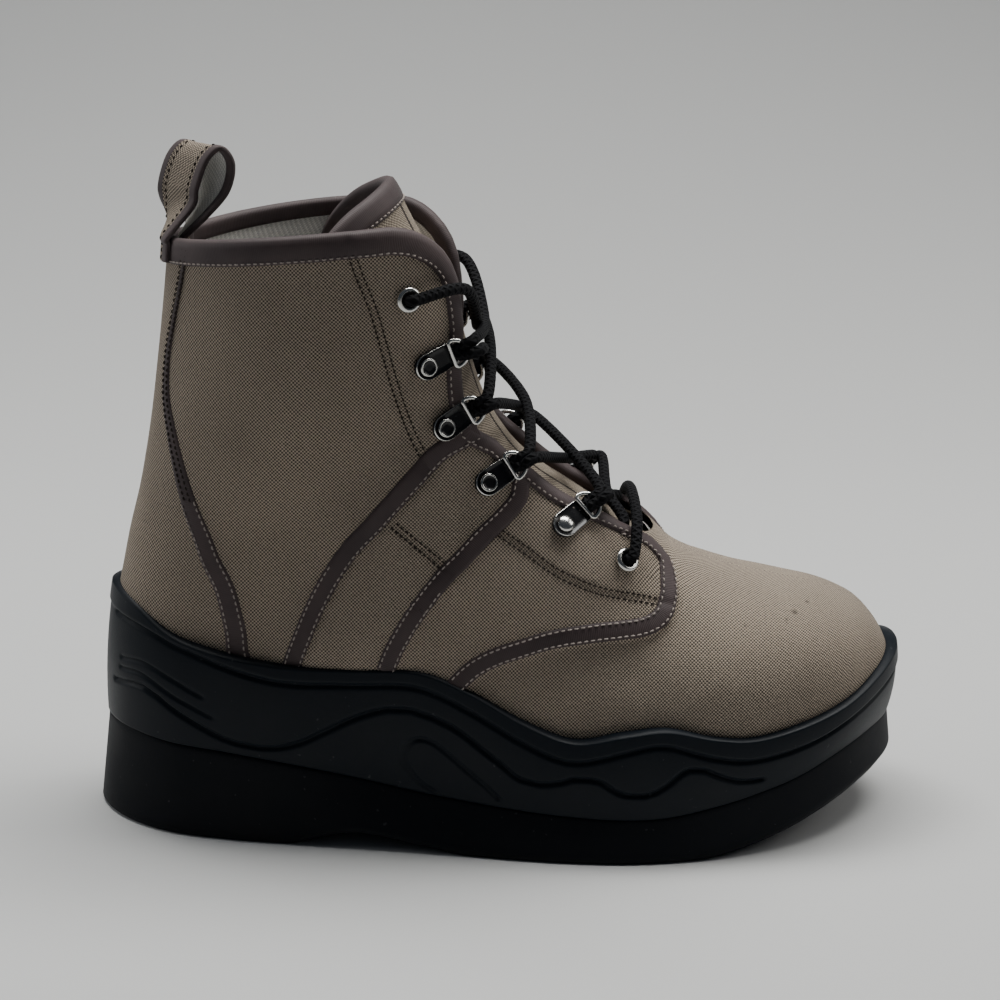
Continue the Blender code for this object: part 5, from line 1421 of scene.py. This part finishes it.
def put(name, place, grid, mats, index=None, round_rows=False):
    """A grid in a lacing row's frame as a piece, closed round its columns."""
    points = into(place, grid)
    quads = grid_quads(*grid.shape[:2], round_rows=round_rows, round_cols=True)
    if round_rows:
        away = points - points.mean(1, keepdims=True)
    else:
        away = points - points.mean((0, 1)) + place[2] * 0.002
    picked = None if index is None else np.asarray(index)[quads[:, 0] // grid.shape[1]]
    return piece(name, points, mats, away, quads, index=picked)


def plate_grid():
    """Tongue-shaped plate: its outline drawn in at the bevel and to the middle."""
    half = PLATE_WIDTH / 2
    t = np.linspace(pi / 2, 3 * pi / 2, 28)
    arc = np.stack([half * np.cos(t), half * np.sin(t)], 1)
    end = np.array([[0.5, -0.98], [0.8, -0.94], [0.96, -0.90], [1.0, -0.80], [1.0, 0.80],
                    [0.96, 0.90], [0.8, 0.94], [0.5, 0.98]]) * (PLATE_REACH, half)
    outline = np.concatenate([arc, end])
    middle = np.array([PLATE_REACH * 0.4, 0.0])
    bevel = ((1.0, -0.0008), (1.0, 0.0008), (0.96, 0.00105), (0.92, 0.0010),
             (0.90, 0.00085), (0.5, 0.00085), (0.0, 0.00085))
    return np.array([np.column_stack([middle + (outline - middle) * scale,
                                      np.full(len(outline), z)]) for scale, z in bevel])


def tube(path, side, up, radius, turn):
    """Rings of a round cord or wire along a path, at the angles turn in the plane of side
    and up."""
    c, s = np.cos(turn)[None, :, None], np.sin(turn)[None, :, None]
    return path[:, None] + radius * (c * side[:, None] + s * up[:, None])


def ring_grid():
    """D-shaped wire: a straight bar across the plate and an arc beyond it, tilted up."""
    t = np.linspace(-pi / 2, pi / 2, 40)
    arc = np.stack([RING_BAR + np.cos(t) * RING_RADIUS, np.sin(t) * RING_RADIUS], 1)
    bar = np.stack([np.full(16, RING_BAR - RING_WIRE * 0.4),
                    np.linspace(0.86, -0.86, 16) * RING_RADIUS], 1)
    path = np.concatenate([arc, bar])
    lift = PLATE_THICKNESS + CLEARANCE + RING_WIRE / 2
    rise = np.maximum(path[:, 0] - RING_BAR, 0) * tan(RING_TILT)
    path = np.column_stack([path, lift + rise])
    ahead = unit(np.roll(path, -1, 0) - np.roll(path, 1, 0))
    up = unit(UP - ahead * ahead[:, 2:3])
    turn = np.linspace(0, 2 * pi, 14, endpoint=False)
    return tube(path, np.cross(ahead, up), up, RING_WIRE / 2, turn)


def make_hardware():
    """Plates, rivets, D-rings and eyelets on both sides."""
    crown = PLATE_THICKNESS + RIVET_HEIGHT
    flat = ((0.0035, 0.0006), (0.0035, crown * 0.9), (0.0032, crown), (0.0027, crown),
            (0.0025, crown * 0.82), (0.0012, crown * 0.82), (0.0, crown * 0.82))
    dome = ((0.0034, 0.0006), (0.0034, crown * 0.72), (0.0029, crown), (0.0021, crown * 1.22),
            (0.0012, crown * 1.36), (0.0, crown * 1.4))
    ring = ((0.0027, -0.0040), (0.0026, 0.0004), (0.0029, 0.0008), (0.0038, 0.0010),
            (0.0046, 0.0007), (EYELET_RADIUS, 0.0), (EYELET_RADIUS, -0.0006))
    for side, word in SIDES:
        for row, place in enumerate(FRAMES[side]):
            if LACING[row][0] == "eyelet":
                obj = put(f"eyelet_ring_{word}_{row}", place, turned(ring, 40), [ENAMEL, STEEL],
                          index=(0, 0, 1, 1, 1, 1))
                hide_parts(f"eyelet_{word}_{row}")
                continue
            obj = put(f"plate_{word}_{row}", place, plate_grid(), [STEEL, ENAMEL],
                      index=(1, 0, 1, 1, 1, 1))
            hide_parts(f"ring_plate_{word}_{row}")
            if row == 1:
                put(f"rivet_{word}_{row}", place, turned(dome, 32), [STEEL])
            else:
                put(f"rivet_{word}_{row}", place, turned(flat, 32), [ENAMEL, STEEL],
                    index=(0, 1, 1, 0, 0, 0))
            obj = put(f"wire_ring_{word}_{row}", place, ring_grid(), [STEEL],
                      round_rows=True)
            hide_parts(f"d_ring_{word}_{row}")


def cord(name, stops):
    """A round braided cord through stops."""
    path = even(stops, 20 * len(stops))
    ahead = unit(np.gradient(path, axis=0))
    side = unit(np.cross(ahead, np.array([0.3, 0, 1.0])))
    turn = np.linspace(0, 2 * pi, 17)
    rings = tube(path, side, np.cross(side, ahead), LACE_RADIUS, turn)
    return piece(name, rings, [LACE], rings - path[:, None],
                 uv=pair(lengths(path)[:, None], turn / (2 * pi)))


def crest_at(row, pile):
    """The place where a crossing passes over the middle plane."""
    x, level = LACE_CREST[row]
    out = np.array([cos(LACE_LEAN), 0.0, sin(LACE_LEAN)])
    return np.array([x * SOLE_LENGTH, 0.0, float(height_of(level))]) + out * pile


def row_place(row, side):
    """Place of a lacing row along the sections."""
    return float(place_from_side(side_points([LACING[row][1:3]]), side)[0][0])


def flap_edge(u, side):
    """Signed angle of a flap's edge at one place along the sections."""
    return float(throat_angle(np.array([u]), side)[0]) * -side


def ring_stops(row, side, leaves):
    """Stops of a strand at a ring or eyelet, from the hidden end outwards."""
    place = FRAMES[side][row]
    if LACING[row][0] == "ring":
        beside = 0.0015 * (-side if leaves else side)
        lift = PLATE_THICKNESS + RING_WIRE / 2
        deep = 0.0002 if leaves else 0.0026
        return [into(place, (RING_BAR + 0.0012, beside * 0.5, lift - 0.0006)),
                into(place, (RING_BAR + 0.0034, beside, lift + deep)),
                into(place, (RING_BAR + 0.0092, beside * 1.4, lift + deep + 0.0022))]
    u = min(row_place(row, side), THROAT_CORNER)
    edge = flap_edge(u, side)
    return [into(place, (0.0, 0.0, -0.006)), into(place, (0.0, 0.0, 0.0)),
            into(place, (0.0016, 0.0, 0.0034)), over_skin(u, edge, OVERLAY + 0.0044)]


def root_stops(side):
    """Stops of the lowest crossing where it comes out from under a flap."""
    u = row_place(0, side) - 1.0
    edge = flap_edge(u, side)
    return [over_skin(u, edge * 1.15, -WALL - 0.0045), over_skin(u, edge * 0.72, -0.0005)]


def make_lace():
    """A bar between the bottom eyelets and a crossing between each two rows."""
    stops = {side: ring_stops(0, side, True) for side in (OUTER, INNER)}
    bar = cord("lace_low_bar", stops[OUTER] + [crest_at(0, 0.0)] + stops[INNER][::-1])
    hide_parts("lace_bar")
    for row in range(1, len(LACE_CREST)):
        low = {side: ring_stops(row - 1, side, True) if row > 1 else root_stops(side)
               for side in (OUTER, INNER)}
        high = {side: ring_stops(row, side, False) for side in (OUTER, INNER)}
        over = cord(f"lace_over_{row}",
                    low[OUTER] + [crest_at(row, LACE_OVER)] + high[INNER][::-1])
        cord(f"lace_under_{row}", high[OUTER] + [crest_at(row, LACE_UNDER)] + low[INNER][::-1])
        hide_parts(f"lace_crossing_{row}")


# The pull loop


def loop_rows():
    """The tape's middle surface: foot outside the collar, over the top, foot inside."""
    points, fine_rows, fine_points = 5, 130, 41
    outside = OVERLAY + 0.0004
    inside = WALL + 0.0011 + LOOP_THICKNESS / 2
    reach = np.linspace(-1, 1, points)

    def foot(depth):
        """Rows of the tape's end, laid on the shaft's back at a depth."""
        swing = np.linspace(-0.6, 0.6, 121)
        skin_y = upper_skin(0.0, pi + swing)[:, 1]
        turn = np.interp(reach * LOOP_WIDTH / 2, skin_y, swing)
        rows = [over_skin(u, pi + turn, depth) for u in np.linspace(LOOP_FOOT, 0.0, 3)]
        return rows + [rows[-1] + UP * 0.0025]

    x, level, turn = np.array(LOOP).T
    middle = np.column_stack([x * SOLE_LENGTH, 0 * x, height_of(level)])
    turn = np.radians(turn)
    across = np.column_stack([-np.sin(turn), np.cos(turn), 0 * turn]) * LOOP_WIDTH / 2
    free = [place + reach[:, None] * way for place, way in zip(middle, across)]
    rows = foot(outside) + free + foot(-inside)[::-1]
    table = np.array(rows).reshape(len(rows), -1)
    rows = spline(table, np.linspace(0, len(rows) - 1, fine_rows))
    rows = rows.reshape(fine_rows, points, 3).transpose(1, 0, 2).reshape(points, -1)
    fine = spline(rows, np.linspace(0, points - 1, fine_points))
    return fine.reshape(fine_points, fine_rows, 3).transpose(1, 0, 2)


def make_pull_loop():
    """Bound webbing: cloth outside, grey inside and folded tape along both edges."""
    grid = loop_rows()
    out = unit(np.cross(np.gradient(grid, axis=0), np.gradient(grid, axis=1)))
    cols = grid.shape[1]
    mid, cloth_half = cols // 2, 13
    if out[20, mid, 0] > 0:
        out = -out
    t = np.linspace(-1, 1, cols)
    bound = soft((np.abs(t) - 0.66) / 0.03)
    thick = (LOOP_THICKNESS / 2 * (0.75 + 0.45 * bound)) * np.sqrt(1 - np.abs(t) ** 24 * 0.8)
    front, back = grid + out * thick[None, :, None], grid - out * thick[None, :, None]
    ring = np.concatenate([front, back[:, ::-1]], 1)
    quads = grid_quads(*ring.shape[:2], round_cols=True)
    col = quads[:, 0] % ring.shape[1]
    place = np.where(col < cols, col, 2 * cols - 1 - col)
    index = np.where(np.abs(place - mid) > cloth_half, 1, np.where(col < cols, 0, 2))
    obj = piece("loop_tape", ring, [TAUPE, MAUVE, LINING],
                np.concatenate([out, -out[:, ::-1]], 1), quads, cloth_uv(ring, mid), index)
    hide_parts("pull_loop")
    lines = [(front[:, k], out[:, k]) for k in (9, 31)]
    stitches("loop_stitches", lines, DARK_THREAD)


# Light, floor and camera


def light(name, place, target, size, power, colour):
    """A soft area light that looks at a target."""
    data = bpy.data.lights.new(name, "AREA")
    data.shape = "RECTANGLE"
    data.size, data.size_y = size
    data.energy = power
    data.color = colour
    obj = link(name, data)
    obj.location = place
    obj.rotation_euler = (Vector(target) - Vector(place)).to_track_quat("-Z", "Y").to_euler()


def make_stage():
    """Pale floor that curves up behind the boot, and soft light from above and both sides."""
    bend = np.linspace(0, pi / 2, 40)
    curve = np.stack([STAGE_DEPTH + STAGE_BEND * np.sin(bend),
                      STAGE_BEND - STAGE_BEND * np.cos(bend)], 1)
    profile = np.concatenate([[[-STAGE_HALF, 0.0], [-0.9, 0.0], [0.0, 0.0]], curve,
                              [[STAGE_DEPTH + STAGE_BEND, STAGE_TOP]]])
    x = np.array([-STAGE_HALF, 0.0, STAGE_HALF])
    grid = np.stack(np.broadcast_arrays(x[None, :], profile[:, :1], profile[:, 1:]), -1)
    mesh = bpy.data.meshes.new("backdrop")
    mesh.from_pydata(grid.reshape(-1, 3).tolist(), [], grid_quads(*grid.shape[:2]).tolist())
    mesh.materials.append(material("backdrop", (0.53, 0.53, 0.525), 0.9)[0])
    mesh.shade_smooth()
    link("backdrop", mesh)
    world = bpy.data.worlds.new("studio")
    world.use_nodes = True
    ground = world.node_tree.nodes["Background"]
    ground.inputs["Color"].default_value = (0.72, 0.84, 1.0, 1)
    ground.inputs["Strength"].default_value = 0.06
    bpy.context.scene.world = world
    light("top", (0.08, 0.24, 1.40), (0.02, -0.20, 0.0), (1.6, 0.5), 36.0, (1.0, 1.0, 0.98))
    light("right", (1.20, 0.20, 0.80), (0.0, 0.0, 0.08), (0.8, 0.6), 4.6, (1.0, 0.98, 0.95))
    light("left", (-1.20, 0.15, 0.60), (0.0, 0.0, 0.10), (0.6, 0.6), 3.6, (0.96, 0.98, 1.0))


def make_camera():
    """The photo's camera: yaw, pitch down and roll."""
    yaw, pitch, roll = radians(1.2), radians(17.25), radians(0.75)
    ahead = np.array([sin(yaw) * cos(pitch), cos(yaw) * cos(pitch), -sin(pitch)])
    right = np.array([cos(yaw), -sin(yaw), 0.0])
    up = np.cross(right, ahead)
    tilted = (right * cos(roll) + up * sin(roll), up * cos(roll) - right * sin(roll))
    data = bpy.data.cameras.new("camera")
    data.lens = 76.3
    data.sensor_width = 36.0
    data.clip_start = 0.01
    cam = link("camera", data)
    place = np.array([0.146, -0.802, 0.376]) + ORIGIN
    rows = [[*(axis[k] for axis in (*tilted, -ahead)), place[k]] for k in range(3)]
    cam.matrix_world = Matrix(rows + [[0, 0, 0, 1]])
    bpy.context.scene.camera = cam


make_outsole()
make_midsole()
make_insole()
make_upper()
make_lining()
make_sewing()
make_tongue()
make_hardware()
make_lace()
make_pull_loop()
make_stage()
make_camera()
